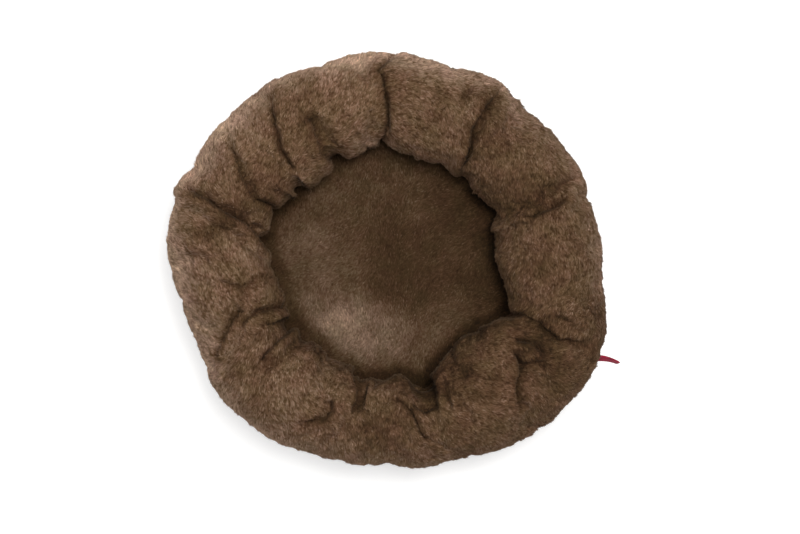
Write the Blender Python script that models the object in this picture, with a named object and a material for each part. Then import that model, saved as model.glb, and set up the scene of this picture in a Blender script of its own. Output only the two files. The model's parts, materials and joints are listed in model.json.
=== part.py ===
"""Round donut pet bed: a gathered plush bolster ring round a plush seat, on a flat base.

Lengths are in metres and angles in degrees. The origin is the centre of the base's
underside, on the floor. +Z is up, and azimuths run anticlockwise from +X, seen from above.
A section is a list of (radius, height) points in the plane of one azimuth.
"""

import math

import bpy
from mathutils import Vector

# Base and bolster ring
BASE_RADIUS = 0.250
BASE_THICKNESS = 0.0025
BOLSTER_FOOT_WIDTH = 0.064
OUTER_OVERHANG = 0.050
HOLE_OVERHANG = 0.036
CREST_HEIGHT = 0.160
OUTER_BULGE_HEIGHT = 0.082
HOLE_BULGE_HEIGHT = 0.096
SEAM_HEIGHT = 0.057

# Cloth, fill and the gaps between pieces
COVER_THICKNESS = 0.005
LINER_THICKNESS = 0.001
SEWN_GAP = 0.0003
FILL_GAP = 0.0012
STUFFING_GAP = 0.0005
CREASE_DEPTH = 0.016

# Cover's belly, from the outer bulge down to its lower edge
BELLY_RUN = 0.022
BELLY_DIP = 0.003
FLANK_SHARE = 0.9

# Seat cushion
SEAM_ALLOWANCE = 0.002
SEAT_CROWN = 0.014
SEAT_HOLLOW_DEPTH = 0.005
SEAT_SIDE_DRAW = 0.004
STUFFING_HOLE_RADIUS = 0.030

# Gather elastic in the seat seam
ELASTIC_THICKNESS = 0.0015
ELASTIC_WIDTH = 0.010

# Base upstand
UPSTAND_THICKNESS = 0.0023
LOW_UPSTAND_HEIGHT = 0.006
SEAM_OVERLAP = 0.008

# Zip
ZIP_HEIGHT = 0.012
TAPE_THICKNESS = 0.0008
LOWER_TAPE_WIDTH = 0.0085
TAPE_GAP = 0.002
COIL_SIZE = 0.0022
COIL_GAP = 0.0012
STOP_LENGTH = 0.004
STOP_HEIGHT = 0.007
STOP_THICKNESS = 0.0012
STOP_SETBACK = 0.006

# Zip slider
SLIDER_LENGTH = 0.012
SLIDER_HEIGHT = 0.011
PLATE_THICKNESS = 0.0012
FLANGE_THICKNESS = 0.001
WEB_THICKNESS = 0.0006
WEB_LENGTH = 0.004
FRONT_CLEARANCE = 0.0006
BACK_CLEARANCE = 0.0007
FLANGE_CLEARANCE = 0.0004
EDGE_CLEARANCE = 0.0015
REST_CLEARANCE = 0.002
BRIDGE_LENGTH = 0.008
BRIDGE_WIDTH = 0.002
BRIDGE_THICKNESS = 0.0009
BRIDGE_OPENING = 0.0022

# Zip pull
PULL_LENGTH = 0.028
PULL_WIDTH = 0.006
PULL_THICKNESS = 0.0012
PULL_CLEARANCE = 0.0004
EYE_LENGTH = 0.0056
EYE_CLEARANCE = 0.0005

# Side label, a folded ribbon
LABEL_WIDTH = 0.018
LABEL_LENGTH = 0.031
RIBBON_THICKNESS = 0.0005
RIBBON_GAP = 0.0006
LABEL_CLEARANCE = 0.0006

# Angles
FULL_TURN = 360
QUARTER_TURN = math.pi / 2
SHARP_ANGLE = 40
COLUMN_STEP = 3
ZIP_STEP = 4
PANEL_SEAMS = {"left": (91, 211), "front": (211, 335), "right": (335, 451)}
ZIP_START = 12
ZIP_END = 168
LABEL_AZIMUTH = 335
LABEL_ROOT_TURN = 22
LABEL_TIP_TURN = -13
LABEL_ROOT_LEAN = 28
LABEL_TIP_LEAN = 6

# Counts
RING_COLUMNS = 48
SEAT_COLUMNS = 36
COIL_SIDES = 6
LABEL_STATIONS = 12
PULL_END_STEPS = 8

# Rows of the cover's section: seat seam, hole bulge, crest, outer bulge, lower edge
SEAM_ROW = 0
HOLE_ROW = 2
CREST_ROW = 5
SIDE_ROW = 7
BULGE_ROW = 8
EDGE_ROW = 11
LINER_ROWS = (0, 2, 4, 5, 6, 8, 10)
ROW_STEP = 0.05
REACH_STEPS = 4

# How far round the ring a crease presses on the liner, in columns of the liner
REACH_SHARE = 0.6
# How far the fill plumps up where the ring is wider
PLUMP_SHARE = 0.3
# How much of a crease on the side is left at the outer bulge
BULGE_CREASE_SHARE = 0.3

# Outline of the ring: (azimuth, share of the outer radius)
OUTLINE_SHARES = (
    (0, 0.980), (15, 0.961), (30, 0.954), (47, 0.936), (58, 0.961), (72, 0.934),
    (90, 0.948), (107, 0.936), (123, 0.959), (145, 0.984), (155, 0.998), (162, 1.039),
    (170, 1.011), (180, 0.989), (197, 0.948), (215, 0.966), (232, 0.970), (247, 0.943),
    (265, 0.929), (280, 0.950), (295, 0.975), (305, 1.016), (320, 1.041), (332, 1.057),
    (341, 1.048), (350, 1.002),
)

# Edge of the hole, without its notches: (azimuth, share of the hole's radius)
HOLE_SHARES = (
    (0, 0.977), (15, 0.982), (25, 1.009), (38, 0.982), (50, 0.964), (60, 0.973),
    (73, 0.936), (93, 0.982), (110, 0.955), (130, 0.927), (150, 0.973), (163, 1.045),
    (172, 1.055), (182, 1.009), (195, 0.977), (230, 0.964), (245, 0.991), (265, 1.036),
    (280, 1.036), (292, 1.045), (310, 0.973), (326, 1.000), (336, 1.073), (345, 1.064),
    (355, 0.991),
)

# Gathers: azimuth at the hole, crest and side, half width, then depth shares at each
CREASE_SHARES = (
    (14, 16, 18, 2.5, 0.25, 0.45, 0.30),
    (23, 22, 24, 2.5, 0.50, 0.30, 0.25),
    (42, 44, 45, 3.5, 0.30, 0.30, 0.10),
    (51, 57, 57, 3.0, 0.55, 0.80, 0.50),
    (63, 65, 66, 2.5, 0.20, 0.25, 0.40),
    (81, 80, 79, 4.0, 0.15, 0.20, 0.10),
    (93, 91, 91, 2.5, 0.50, 0.50, 0.40),
    (119, 117, 116, 3.0, 0.60, 0.45, 0.15),
    (140, 132, 125, 2.5, 0.60, 0.40, 0.30),
    (157, 151, 143, 3.0, 0.20, 0.50, 0.25),
    (172, 164, 162, 3.5, 0.70, 1.00, 0.60),
    (177, 169, 174, 3.0, 0.10, 0.50, 0.30),
    (189, 190, 188, 3.0, 0.45, 0.30, 0.10),
    (204, 202, 211, 2.5, 0.60, 0.70, 0.40),
    (213, 208, 207, 2.5, 0.50, 0.10, 0.00),
    (217, 219, 220, 2.5, 0.90, 0.50, 0.00),
    (223, 223, 222, 2.5, 0.30, 0.25, 0.00),
    (244, 250, 243, 3.5, 0.30, 0.45, 0.30),
    (255, 258, 259, 3.0, 0.90, 0.40, 0.20),
    (277, 281, 281, 3.0, 0.45, 0.60, 0.30),
    (288, 286, 284, 3.0, 0.90, 0.10, 0.00),
    (300, 302, 304, 4.0, 0.30, 0.20, 0.10),
    (325, 322, 309, 3.0, 0.20, 0.70, 0.50),
    (330, 330, 328, 2.5, 0.40, 0.40, 0.20),
    (337, 338, 337, 2.5, 0.70, 0.60, 0.20),
    (346, 341, 342, 3.0, 0.20, 0.35, 0.25),
)

# Hollows pressed into the seat: azimuth, then shares of radius, spread and depth
HOLLOW_SHARES = (
    (35, 0.45, 0.35, 1.0),
    (160, 0.55, 0.30, 0.7),
    (290, 0.60, 0.25, 0.8),
)

# Rings of the seat's top, as shares of its radius
SEAT_RING_SHARES = (0.25, 0.5, 0.75, 0.92)
LINER_RING_SHARES = (0.4, 0.75)

# Radii and heights that follow from the sizes above
SEAM_RADIUS = BASE_RADIUS - BOLSTER_FOOT_WIDTH
OUTER_RADIUS = BASE_RADIUS + OUTER_OVERHANG
HOLE_RADIUS = SEAM_RADIUS - HOLE_OVERHANG
FLOOR_HEIGHT = BASE_THICKNESS + SEWN_GAP

TAPE_INNER = BASE_RADIUS + SEWN_GAP
TAPE_OUTER = TAPE_INNER + TAPE_THICKNESS
COIL_INNER = TAPE_OUTER + SEWN_GAP
COIL_OUTER = COIL_INNER + COIL_SIZE
SLIDER_FRONT = COIL_OUTER + FRONT_CLEARANCE
SLIDER_FACE = SLIDER_FRONT + PLATE_THICKNESS
SLIDER_BACK = TAPE_INNER - BACK_CLEARANCE
COVER_EDGE_RADIUS = TAPE_OUTER + SEWN_GAP
COVER_EDGE_HEIGHT = ZIP_HEIGHT + SLIDER_HEIGHT / 2 + EDGE_CLEARANCE
TALL_UPSTAND_HEIGHT = COVER_EDGE_HEIGHT + SEAM_OVERLAP

SEAT_RADIUS = SEAM_RADIUS + SEAM_ALLOWANCE
SEAT_EDGE_HEIGHT = SEAM_HEIGHT - SEWN_GAP
ELASTIC_INNER = SEAT_RADIUS + SEWN_GAP
ELASTIC_OUTER = ELASTIC_INNER + ELASTIC_THICKNESS
FOOT_INNER = ELASTIC_OUTER + FILL_GAP
FOOT_OUTER = min(BASE_RADIUS - UPSTAND_THICKNESS, SLIDER_BACK - PLATE_THICKNESS) - FILL_GAP
SHOULDER_HEIGHT = TALL_UPSTAND_HEIGHT + 2 * FILL_GAP

# Finishes: linear red, green and blue, then roughness and metallic value
FINISHES = {
    "bolster_plush": ((0.150, 0.088, 0.052), 0.95, 0),
    "seat_plush": ((0.120, 0.068, 0.038), 0.95, 0),
    "base_cloth": ((0.045, 0.033, 0.026), 0.9, 0),
    "liner_cloth": ((0.62, 0.60, 0.56), 0.9, 0),
    "fibre_fill": ((0.80, 0.80, 0.78), 1, 0),
    "elastic_tape": ((0.70, 0.68, 0.64), 0.85, 0),
    "zip_tape_cloth": ((0.070, 0.045, 0.030), 0.9, 0),
    "zip_coil_plastic": ((0.055, 0.035, 0.024), 0.45, 0),
    "bronze_metal": ((0.24, 0.17, 0.11), 0.35, 1),
    "red_ribbon": ((0.42, 0.018, 0.045), 0.6, 0),
}


def around(knots, azimuth):
    """Smooth closed curve through (azimuth, value) knots, read at one azimuth."""
    azimuth %= FULL_TURN
    count = len(knots)
    after = next((i for i, knot in enumerate(knots) if knot[0] > azimuth), count)
    places = []
    values = []
    for index in range(after - 2, after + 2):
        turns, wrapped = divmod(index, count)
        places.append(knots[wrapped][0] + turns * FULL_TURN)
        values.append(knots[wrapped][1])
    span = places[2] - places[1]
    share = (azimuth - places[1]) / span
    start_slope = (values[2] - values[0]) / (places[2] - places[0]) * span
    end_slope = (values[3] - values[1]) / (places[3] - places[1]) * span
    square = share * share
    cube = square * share
    return (
        (2 * cube - 3 * square + 1) * values[1]
        + (cube - 2 * square + share) * start_slope
        + (3 * square - 2 * cube) * values[2]
        + (cube - square) * end_slope
    )


def between(stations, values, place):
    """Value at a place on straight runs between stations."""
    for index in range(len(stations) - 1):
        if place <= stations[index + 1]:
            break
    share = (place - stations[index]) / (stations[index + 1] - stations[index])
    return values[index] + (values[index + 1] - values[index]) * share


def degrees_apart(first, second):
    return (first - second + FULL_TURN / 2) % FULL_TURN - FULL_TURN / 2


def at(azimuth, radius, height):
    turn = math.radians(azimuth)
    return (radius * math.cos(turn), radius * math.sin(turn), height)


def cover_point(azimuth, row):
    """Outside of the cover before its gathers, at one row of its section."""
    outer = OUTER_RADIUS * around(OUTLINE_SHARES, azimuth)
    hole = HOLE_RADIUS * around(HOLE_SHARES, azimuth)
    crest = (outer + hole) / 2
    width_share = (outer - hole) / (OUTER_RADIUS - HOLE_RADIUS)
    top = CREST_HEIGHT * (1 + PLUMP_SHARE * (width_share - 1))
    if row <= HOLE_ROW:
        turn = QUARTER_TURN * row / HOLE_ROW
        radius = SEAM_RADIUS - (SEAM_RADIUS - hole) * math.sin(turn)
        return radius, SEAM_HEIGHT + (HOLE_BULGE_HEIGHT - SEAM_HEIGHT) * (1 - math.cos(turn))
    if row <= CREST_ROW:
        turn = QUARTER_TURN * (row - HOLE_ROW) / (CREST_ROW - HOLE_ROW)
        radius = crest - (crest - hole) * math.cos(turn)
        return radius, HOLE_BULGE_HEIGHT + (top - HOLE_BULGE_HEIGHT) * math.sin(turn)
    if row <= BULGE_ROW:
        turn = QUARTER_TURN * (row - CREST_ROW) / (BULGE_ROW - CREST_ROW)
        radius = crest + (outer - crest) * math.sin(turn)
        return radius, OUTER_BULGE_HEIGHT + (top - OUTER_BULGE_HEIGHT) * math.cos(turn)
    share = (row - BULGE_ROW) / (EDGE_ROW - BULGE_ROW)
    drop = OUTER_BULGE_HEIGHT - COVER_EDGE_HEIGHT
    start = Vector((outer, OUTER_BULGE_HEIGHT))
    flank = Vector((outer, OUTER_BULGE_HEIGHT - FLANK_SHARE * drop))
    belly = Vector((COVER_EDGE_RADIUS + BELLY_RUN, COVER_EDGE_HEIGHT - BELLY_DIP))
    edge = Vector((COVER_EDGE_RADIUS, COVER_EDGE_HEIGHT))
    rest = 1 - share
    point = rest**3 * start + 3 * rest**2 * share * flank
    point += 3 * rest * share**2 * belly + share**3 * edge
    return point.x, point.y


def crease_share(azimuth, row):
    """How deep the gathers are at a point of the cover, as a share of the crease depth."""
    azimuth_rows = (HOLE_ROW, CREST_ROW, SIDE_ROW)
    depth_rows = (SEAM_ROW, HOLE_ROW, CREST_ROW, SIDE_ROW, BULGE_ROW, EDGE_ROW)
    place = min(max(row, HOLE_ROW), SIDE_ROW)
    deepest = 0
    for hole_at, crest_at, side_at, width, hole_share, crest_depth, side_share in CREASE_SHARES:
        centre = between(azimuth_rows, (hole_at, crest_at, side_at), place)
        bulge_share = side_share * BULGE_CREASE_SHARE
        depths = (0, hole_share, crest_depth, side_share, bulge_share, 0)
        away = degrees_apart(azimuth, centre) / width
        deepest += between(depth_rows, depths, row) * math.exp(-away * away)
    return min(deepest, 1)


def cover_surface(azimuth, row, inset, reach=0):
    """Point of the section under the gathers, set in from the cover's outside by inset.

    With a reach, the deepest crease within that many degrees counts.
    """
    radius, height = cover_point(azimuth, row)
    before = Vector(cover_point(azimuth, max(row - ROW_STEP, SEAM_ROW)))
    after = Vector(cover_point(azimuth, min(row + ROW_STEP, EDGE_ROW)))
    along = (after - before).normalized()
    places = [azimuth + reach * step / REACH_STEPS for step in range(-REACH_STEPS, REACH_STEPS + 1)]
    depth = CREASE_DEPTH * max(crease_share(place, row) for place in places) + inset
    return radius + along.y * depth, height - along.x * depth


def set_in(section, distance):
    """Closed clockwise section moved inwards by a distance all round."""
    moved = []
    for index, corner in enumerate(section):
        point = Vector(corner)
        before = (point - Vector(section[index - 1])).normalized()
        after = (Vector(section[(index + 1) % len(section)]) - point).normalized()
        first = Vector((before.y, -before.x))
        second = Vector((after.y, -after.x))
        shift = (first + second) / (1 + first.dot(second)) * distance
        moved.append(tuple(point + shift))
    return moved


def seat_height(azimuth, radius):
    """Top of the seat: a low crown with pressed hollows."""
    share = radius / SEAT_RADIUS
    height = SEAT_EDGE_HEIGHT + SEAT_CROWN * (1 - share * share)
    here = Vector(at(azimuth, share, 0))
    for hollow_at, place, spread, depth in HOLLOW_SHARES:
        away = (here - Vector(at(hollow_at, place, 0))).length / spread
        fade = 1 - share**4
        height -= SEAT_HOLLOW_DEPTH * depth * fade * math.exp(-away * away)
    return height


def make_material(name):
    colour, roughness, metallic = FINISHES[name]
    material = bpy.data.materials.new(name)
    material.use_nodes = True
    shader = material.node_tree.nodes["Principled BSDF"]
    shader.inputs["Base Color"].default_value = (*colour, 1)
    shader.inputs["Roughness"].default_value = roughness
    shader.inputs["Metallic"].default_value = metallic
    material.diffuse_color = (*colour, 1)
    return material


def add_piece(name, mesh, material, parent, location=(0, 0, 0), azimuth=0):
    mesh.name = name
    mesh.materials.append(material)
    mesh.shade_smooth()
    mesh.set_sharp_from_angle(angle=math.radians(SHARP_ANGLE))
    piece = bpy.data.objects.new(name, mesh)
    piece.location = location
    piece.rotation_euler.z = math.radians(azimuth)
    piece.parent = parent
    bpy.context.collection.objects.link(piece)
    return piece


def mesh_of(vertices, faces):
    mesh = bpy.data.meshes.new("shape")
    mesh.from_pydata(vertices, [], faces)
    mesh.update()
    return mesh


def split(corners):
    """Two triangles of a four-sided face, always across its first and third corners."""
    first, second, third, fourth = corners
    return [(first, second, third), (first, third, fourth)]


def sheet_mesh(outer, inner, closed_columns=False, closed_rows=False, openings=()):
    """Two-sided sheet from columns of points, with a rim along every free edge."""
    columns = len(outer)
    rows = len(outer[0])
    vertices = [point for column in outer for point in column]
    vertices += [point for column in inner for point in column]
    side = columns * rows
    faces = []
    for column in range(columns if closed_columns else columns - 1):
        for row in range(rows if closed_rows else rows - 1):
            if (column, row) in openings:
                continue
            next_column = (column + 1) % columns * rows
            next_row = (row + 1) % rows
            here = column * rows
            faces += split(
                (here + row, here + next_row, next_column + next_row, next_column + row)
            )
    edges = {(face[i - 1], face[i]) for face in faces for i in range(len(face))}
    rims = [(a, b) for a, b in edges if (b, a) not in edges]
    backs = [tuple(side + index for index in reversed(face)) for face in faces]
    walls = [(b, a, side + a, side + b) for a, b in sorted(rims)]
    return mesh_of(vertices, faces + backs + walls)


def solid_ring_mesh(sections):
    """Solid ring from closed sections, one to a column, each of 3D points."""
    columns = len(sections)
    rows = len(sections[0])
    vertices = [point for section in sections for point in section]
    faces = []
    for column in range(columns):
        for row in range(rows):
            here = column * rows
            following = (column + 1) % columns * rows
            next_row = (row + 1) % rows
            faces += split((here + row, here + next_row, following + next_row, following + row))
    return mesh_of(vertices, faces)


def swept_mesh(sections):
    """Solid strip from closed sections, capped at both ends."""
    columns = len(sections)
    rows = len(sections[0])
    vertices = [point for section in sections for point in section]
    faces = [tuple(reversed(range(rows))), tuple(range((columns - 1) * rows, columns * rows))]
    for here in range(0, (columns - 1) * rows, rows):
        for row in range(rows):
            next_row = (row + 1) % rows
            faces.append((here + row, here + next_row, here + rows + next_row, here + rows + row))
    return mesh_of(vertices, faces)


def turned_mesh(sections, azimuths):
    """Solid from sections that start and end on the axis."""
    columns = len(sections)
    rings = len(sections[0]) - 2
    vertices = [at(0, 0, sections[0][0][1]), at(0, 0, sections[0][-1][1])]
    for section, azimuth in zip(sections, azimuths):
        vertices += [at(azimuth, *point) for point in section[1:-1]]
    faces = []
    for column in range(columns):
        here = 2 + column * rings
        following = 2 + (column + 1) % columns * rings
        faces.append((0, here, following))
        faces.append((1, following + rings - 1, here + rings - 1))
        for ring in range(rings - 1):
            faces += split(
                (here + ring, here + ring + 1, following + ring + 1, following + ring)
            )
    return mesh_of(vertices, faces)


def box_mesh(x_range, y_range, z_range):
    corners = [(x, y, z) for z in z_range for x, y in (
        (x_range[0], y_range[0]),
        (x_range[1], y_range[0]),
        (x_range[1], y_range[1]),
        (x_range[0], y_range[1]),
    )]
    sides = [(i, (i + 1) % 4, (i + 1) % 4 + 4, i + 4) for i in range(4)]
    return mesh_of(corners, [(3, 2, 1, 0), (4, 5, 6, 7), *sides])


def combined_mesh(first, others, operation):
    """First mesh with the others joined to it or cut from it."""
    helpers = []
    for mesh in (first, *others):
        helper = bpy.data.objects.new("helper", mesh)
        bpy.context.collection.objects.link(helper)
        helpers.append(helper)
    for helper in helpers[1:]:
        boolean = helpers[0].modifiers.new("boolean", "BOOLEAN")
        boolean.operation = operation
        boolean.object = helper
    graph = bpy.context.evaluated_depsgraph_get()
    mesh = bpy.data.meshes.new_from_object(helpers[0].evaluated_get(graph))
    for helper in helpers:
        bpy.data.objects.remove(helper)
    return mesh


def spread(count, start=0, end=FULL_TURN):
    return [start + (end - start) * index / count for index in range(count)]


def add_bolster_panels(bed, plush):
    """Three plush panels sewn end to end, each a gathered sheet bent over the ring."""
    half_gap = math.degrees(SEWN_GAP / HOLE_RADIUS)
    rows = range(EDGE_ROW + 1)
    for side, (start, end) in PANEL_SEAMS.items():
        count = round((end - start) / COLUMN_STEP)
        azimuths = spread(count, start + half_gap, end - half_gap) + [end - half_gap]
        outer = [[at(a, *cover_surface(a, row, 0)) for row in rows] for a in azimuths]
        inner = [
            [at(a, *cover_surface(a, row, COVER_THICKNESS)) for row in rows] for a in azimuths
        ]
        add_piece(f"bolster_panel_{side}", sheet_mesh(outer, inner), plush, bed)


def filling_section(azimuth):
    """Outside of the bolster's liner, under the deepest crease near the azimuth."""
    reach = FULL_TURN / RING_COLUMNS * REACH_SHARE
    inset = COVER_THICKNESS + FILL_GAP
    section = [cover_surface(azimuth, row, inset, reach) for row in LINER_ROWS]
    return section + [
        (FOOT_OUTER, SHOULDER_HEIGHT),
        (FOOT_OUTER, FLOOR_HEIGHT),
        (FOOT_INNER, FLOOR_HEIGHT),
        (FOOT_INNER, section[0][1]),
    ]


def add_bolster_filling(bed, liner_cloth, fibre):
    """Tube liner with a stuffing slit in its foot, and the loose fibre inside it."""
    azimuths = spread(RING_COLUMNS)
    sections = [filling_section(azimuth) for azimuth in azimuths]
    slit_row = len(LINER_ROWS) + 1
    outer = [[at(a, *point) for point in s] for a, s in zip(azimuths, sections)]
    inner = [
        [at(a, *point) for point in set_in(s, LINER_THICKNESS)]
        for a, s in zip(azimuths, sections)
    ]
    liner = sheet_mesh(outer, inner, True, True, {(0, slit_row)})
    add_piece("bolster_liner", liner, liner_cloth, bed)
    fill = [
        [at(a, *point) for point in set_in(s, LINER_THICKNESS + STUFFING_GAP)]
        for a, s in zip(azimuths, sections)
    ]
    add_piece("bolster_fibre", solid_ring_mesh(fill), fibre, bed)


def add_seat_panel(bed, plush):
    azimuths = spread(RING_COLUMNS)
    sections = []
    for azimuth in azimuths:
        radii = [0, *(share * SEAT_RADIUS for share in SEAT_RING_SHARES), SEAT_RADIUS]
        top = [(radius, seat_height(azimuth, radius)) for radius in radii]
        under = [(radius, height - COVER_THICKNESS) for radius, height in reversed(top)]
        sections.append(top + under)
    add_piece("seat_panel", turned_mesh(sections, azimuths), plush, bed)


def seat_fill_section(azimuth, inset):
    """Seat filling from the centre of its top to its foot, set in by inset."""
    edge = SEAT_RADIUS - FILL_GAP - inset
    drop = COVER_THICKNESS + 2 * FILL_GAP + inset
    foot = FLOOR_HEIGHT + inset
    corner = edge - SEAT_SIDE_DRAW
    radii = [0, *(share * edge for share in LINER_RING_SHARES), corner]
    top = [(radius, seat_height(azimuth, radius) - drop) for radius in radii]
    middle = (top[-1][1] + foot) / 2
    return [*top, (edge, middle), (corner, foot)]


def add_seat_filling(bed, liner_cloth, fibre):
    """Flat liner with a stuffing hole underneath, and the loose fibre inside it."""
    azimuths = spread(SEAT_COLUMNS)
    liner = []
    fill = []
    for azimuth in azimuths:
        outside = seat_fill_section(azimuth, 0)
        inside = seat_fill_section(azimuth, LINER_THICKNESS)
        hole = [
            (STUFFING_HOLE_RADIUS, FLOOR_HEIGHT),
            (STUFFING_HOLE_RADIUS, FLOOR_HEIGHT + LINER_THICKNESS),
        ]
        liner.append([*outside, *hole, *reversed(inside)])
        stuffing = seat_fill_section(azimuth, LINER_THICKNESS + STUFFING_GAP)
        fill.append([*stuffing, (0, stuffing[-1][1])])
    add_piece("seat_liner", turned_mesh(liner, azimuths), liner_cloth, bed)
    add_piece("seat_fibre", turned_mesh(fill, azimuths), fibre, bed)


def add_gather_elastic(bed, elastic):
    low = SEAT_EDGE_HEIGHT - ELASTIC_WIDTH
    corners = (
        (ELASTIC_INNER, low),
        (ELASTIC_INNER, SEAT_EDGE_HEIGHT),
        (ELASTIC_OUTER, SEAT_EDGE_HEIGHT),
        (ELASTIC_OUTER, low),
    )
    sections = [[at(a, *corner) for corner in corners] for a in spread(RING_COLUMNS)]
    add_piece("gather_elastic", solid_ring_mesh(sections), elastic, bed)


def add_base_panel(bed, base_cloth):
    """Flat base with an upstand, which is cut low where the zip runs."""
    azimuths = spread(FULL_TURN // ZIP_STEP)
    sections = []
    for azimuth in azimuths:
        zipped = ZIP_START <= azimuth <= ZIP_END
        outer = BASE_RADIUS if zipped else TAPE_OUTER
        top = LOW_UPSTAND_HEIGHT if zipped else TALL_UPSTAND_HEIGHT
        inner = outer - UPSTAND_THICKNESS
        sections.append([
            (0, BASE_THICKNESS),
            (inner, BASE_THICKNESS),
            (inner, top),
            (outer, top),
            (outer, 0),
            (0, 0),
        ])
    add_piece("base_panel", turned_mesh(sections, azimuths), base_cloth, bed)


def zip_strip(corners):
    azimuths = range(ZIP_START, ZIP_END + ZIP_STEP, ZIP_STEP)
    return swept_mesh([[at(a, *corner) for corner in corners] for a in azimuths])


def add_zip_band(bed, tape_cloth, plastic, metal):
    """Two tapes, each with its row of coil, and a stop clamped over each end."""
    rows = {
        "lower": (ZIP_HEIGHT - TAPE_GAP / 2 - LOWER_TAPE_WIDTH, ZIP_HEIGHT - TAPE_GAP / 2, -1),
        "upper": (ZIP_HEIGHT + TAPE_GAP / 2, TALL_UPSTAND_HEIGHT, 1),
    }
    for side, (low, high, away) in rows.items():
        corners = ((TAPE_INNER, low), (TAPE_INNER, high), (TAPE_OUTER, high), (TAPE_OUTER, low))
        add_piece(f"zip_tape_{side}", zip_strip(corners), tape_cloth, bed)
        middle = ZIP_HEIGHT + away * (COIL_GAP + COIL_SIZE) / 2
        centre = COIL_INNER + COIL_SIZE / 2
        ring = []
        for turn in spread(COIL_SIDES):
            x, z, _ = at(turn, COIL_SIZE / 2, 0)
            ring.append((centre - x, middle + z))
        add_piece(f"zip_coil_{side}", zip_strip(ring), plastic, bed)
    stop = box_mesh(
        (COIL_OUTER + SEWN_GAP, COIL_OUTER + SEWN_GAP + STOP_THICKNESS),
        (-STOP_LENGTH / 2, STOP_LENGTH / 2),
        (ZIP_HEIGHT - STOP_HEIGHT / 2, ZIP_HEIGHT + STOP_HEIGHT / 2),
    )
    setback = math.degrees(STOP_SETBACK / COIL_OUTER)
    add_piece("zip_start_stop", stop, metal, bed, azimuth=ZIP_START + setback)
    add_piece("zip_end_stop", stop.copy(), metal, bed, azimuth=ZIP_END - setback)


def slider_rest_azimuth():
    """Where the slider stands with the zip shut, just short of the end stop."""
    travel = STOP_SETBACK + (STOP_LENGTH + SLIDER_LENGTH) / 2 + REST_CLEARANCE
    return ZIP_END - math.degrees(travel / COIL_OUTER)


def add_zip_slider(bed, metal):
    """Front and back plates joined by a web between the coils, with flanges and a bridge."""
    half_length = SLIDER_LENGTH / 2
    top = ZIP_HEIGHT + SLIDER_HEIGHT / 2
    bottom = ZIP_HEIGHT - SLIDER_HEIGHT / 2
    plate_middle = SLIDER_FRONT + PLATE_THICKNESS / 2
    whole_length = (-half_length, half_length)
    bridge_heights = (ZIP_HEIGHT - BRIDGE_WIDTH / 2, ZIP_HEIGHT + BRIDGE_WIDTH / 2)
    bridge_under = SLIDER_FACE + BRIDGE_OPENING
    bridge_top = bridge_under + BRIDGE_THICKNESS
    half_bridge = BRIDGE_LENGTH / 2
    flange_depth = (TAPE_OUTER + FLANGE_CLEARANCE, plate_middle)
    front = box_mesh((SLIDER_FRONT, SLIDER_FACE), whole_length, (bottom, top))
    others = [
        box_mesh((SLIDER_BACK - PLATE_THICKNESS, SLIDER_BACK), whole_length, (bottom, top)),
        box_mesh(flange_depth, whole_length, (top - FLANGE_THICKNESS, top)),
        box_mesh(flange_depth, whole_length, (bottom, bottom + FLANGE_THICKNESS)),
        box_mesh(
            (SLIDER_BACK - PLATE_THICKNESS / 2, plate_middle),
            (-WEB_LENGTH / 2, WEB_LENGTH / 2),
            (ZIP_HEIGHT - WEB_THICKNESS / 2, ZIP_HEIGHT + WEB_THICKNESS / 2),
        ),
        box_mesh((bridge_under, bridge_top), (-half_bridge, half_bridge), bridge_heights),
    ]
    for low, high in (
        (-half_bridge, BRIDGE_THICKNESS - half_bridge),
        (half_bridge - BRIDGE_THICKNESS, half_bridge),
    ):
        foot = (plate_middle, bridge_under + BRIDGE_THICKNESS / 2)
        others.append(box_mesh(foot, (low, high), bridge_heights))
    mesh = combined_mesh(front, others, "UNION")
    return add_piece("zip_slider", mesh, metal, bed, azimuth=slider_rest_azimuth())


def add_zip_pull(slider, metal):
    """Flat tab whose eye goes round the bridge. Its origin is the axis of its end bar."""
    half_thickness = PULL_THICKNESS / 2
    half_width = PULL_WIDTH / 2
    straight = PULL_LENGTH - half_width
    outline = [(-half_thickness, -half_width), (straight, -half_width)]
    for turn in spread(PULL_END_STEPS, -90, 90)[1:]:
        x, z, _ = at(turn, half_width, 0)
        outline.append((straight + x, z))
    outline += [(straight, half_width), (-half_thickness, half_width)]
    sections = [
        [(side, -along, height) for along, height in outline]
        for side in (-half_thickness, half_thickness)
    ]
    half_eye = BRIDGE_WIDTH / 2 + EYE_CLEARANCE
    cutter = box_mesh(
        (-PULL_THICKNESS, PULL_THICKNESS),
        (-half_thickness - EYE_LENGTH, -half_thickness),
        (-half_eye, half_eye),
    )
    mesh = combined_mesh(swept_mesh(sections), [cutter], "DIFFERENCE")
    axis_radius = SLIDER_FACE + PULL_CLEARANCE + half_thickness
    return add_piece("zip_pull", mesh, metal, slider, (axis_radius, 0, ZIP_HEIGHT))


def label_stations():
    """Points and headings along the label, from its root to its fold."""
    step = LABEL_LENGTH / LABEL_STATIONS
    place = Vector((0, 0, 0))
    stations = []
    for index in range(LABEL_STATIONS + 1):
        share = index / LABEL_STATIONS
        turn = LABEL_ROOT_TURN + (LABEL_TIP_TURN - LABEL_ROOT_TURN) * share
        lean = LABEL_ROOT_LEAN + (LABEL_TIP_LEAN - LABEL_ROOT_LEAN) * share
        heading = Vector(at(turn, 1, 0))
        stations.append((place.copy(), heading, math.radians(lean)))
        place += heading * step
    return stations


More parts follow.
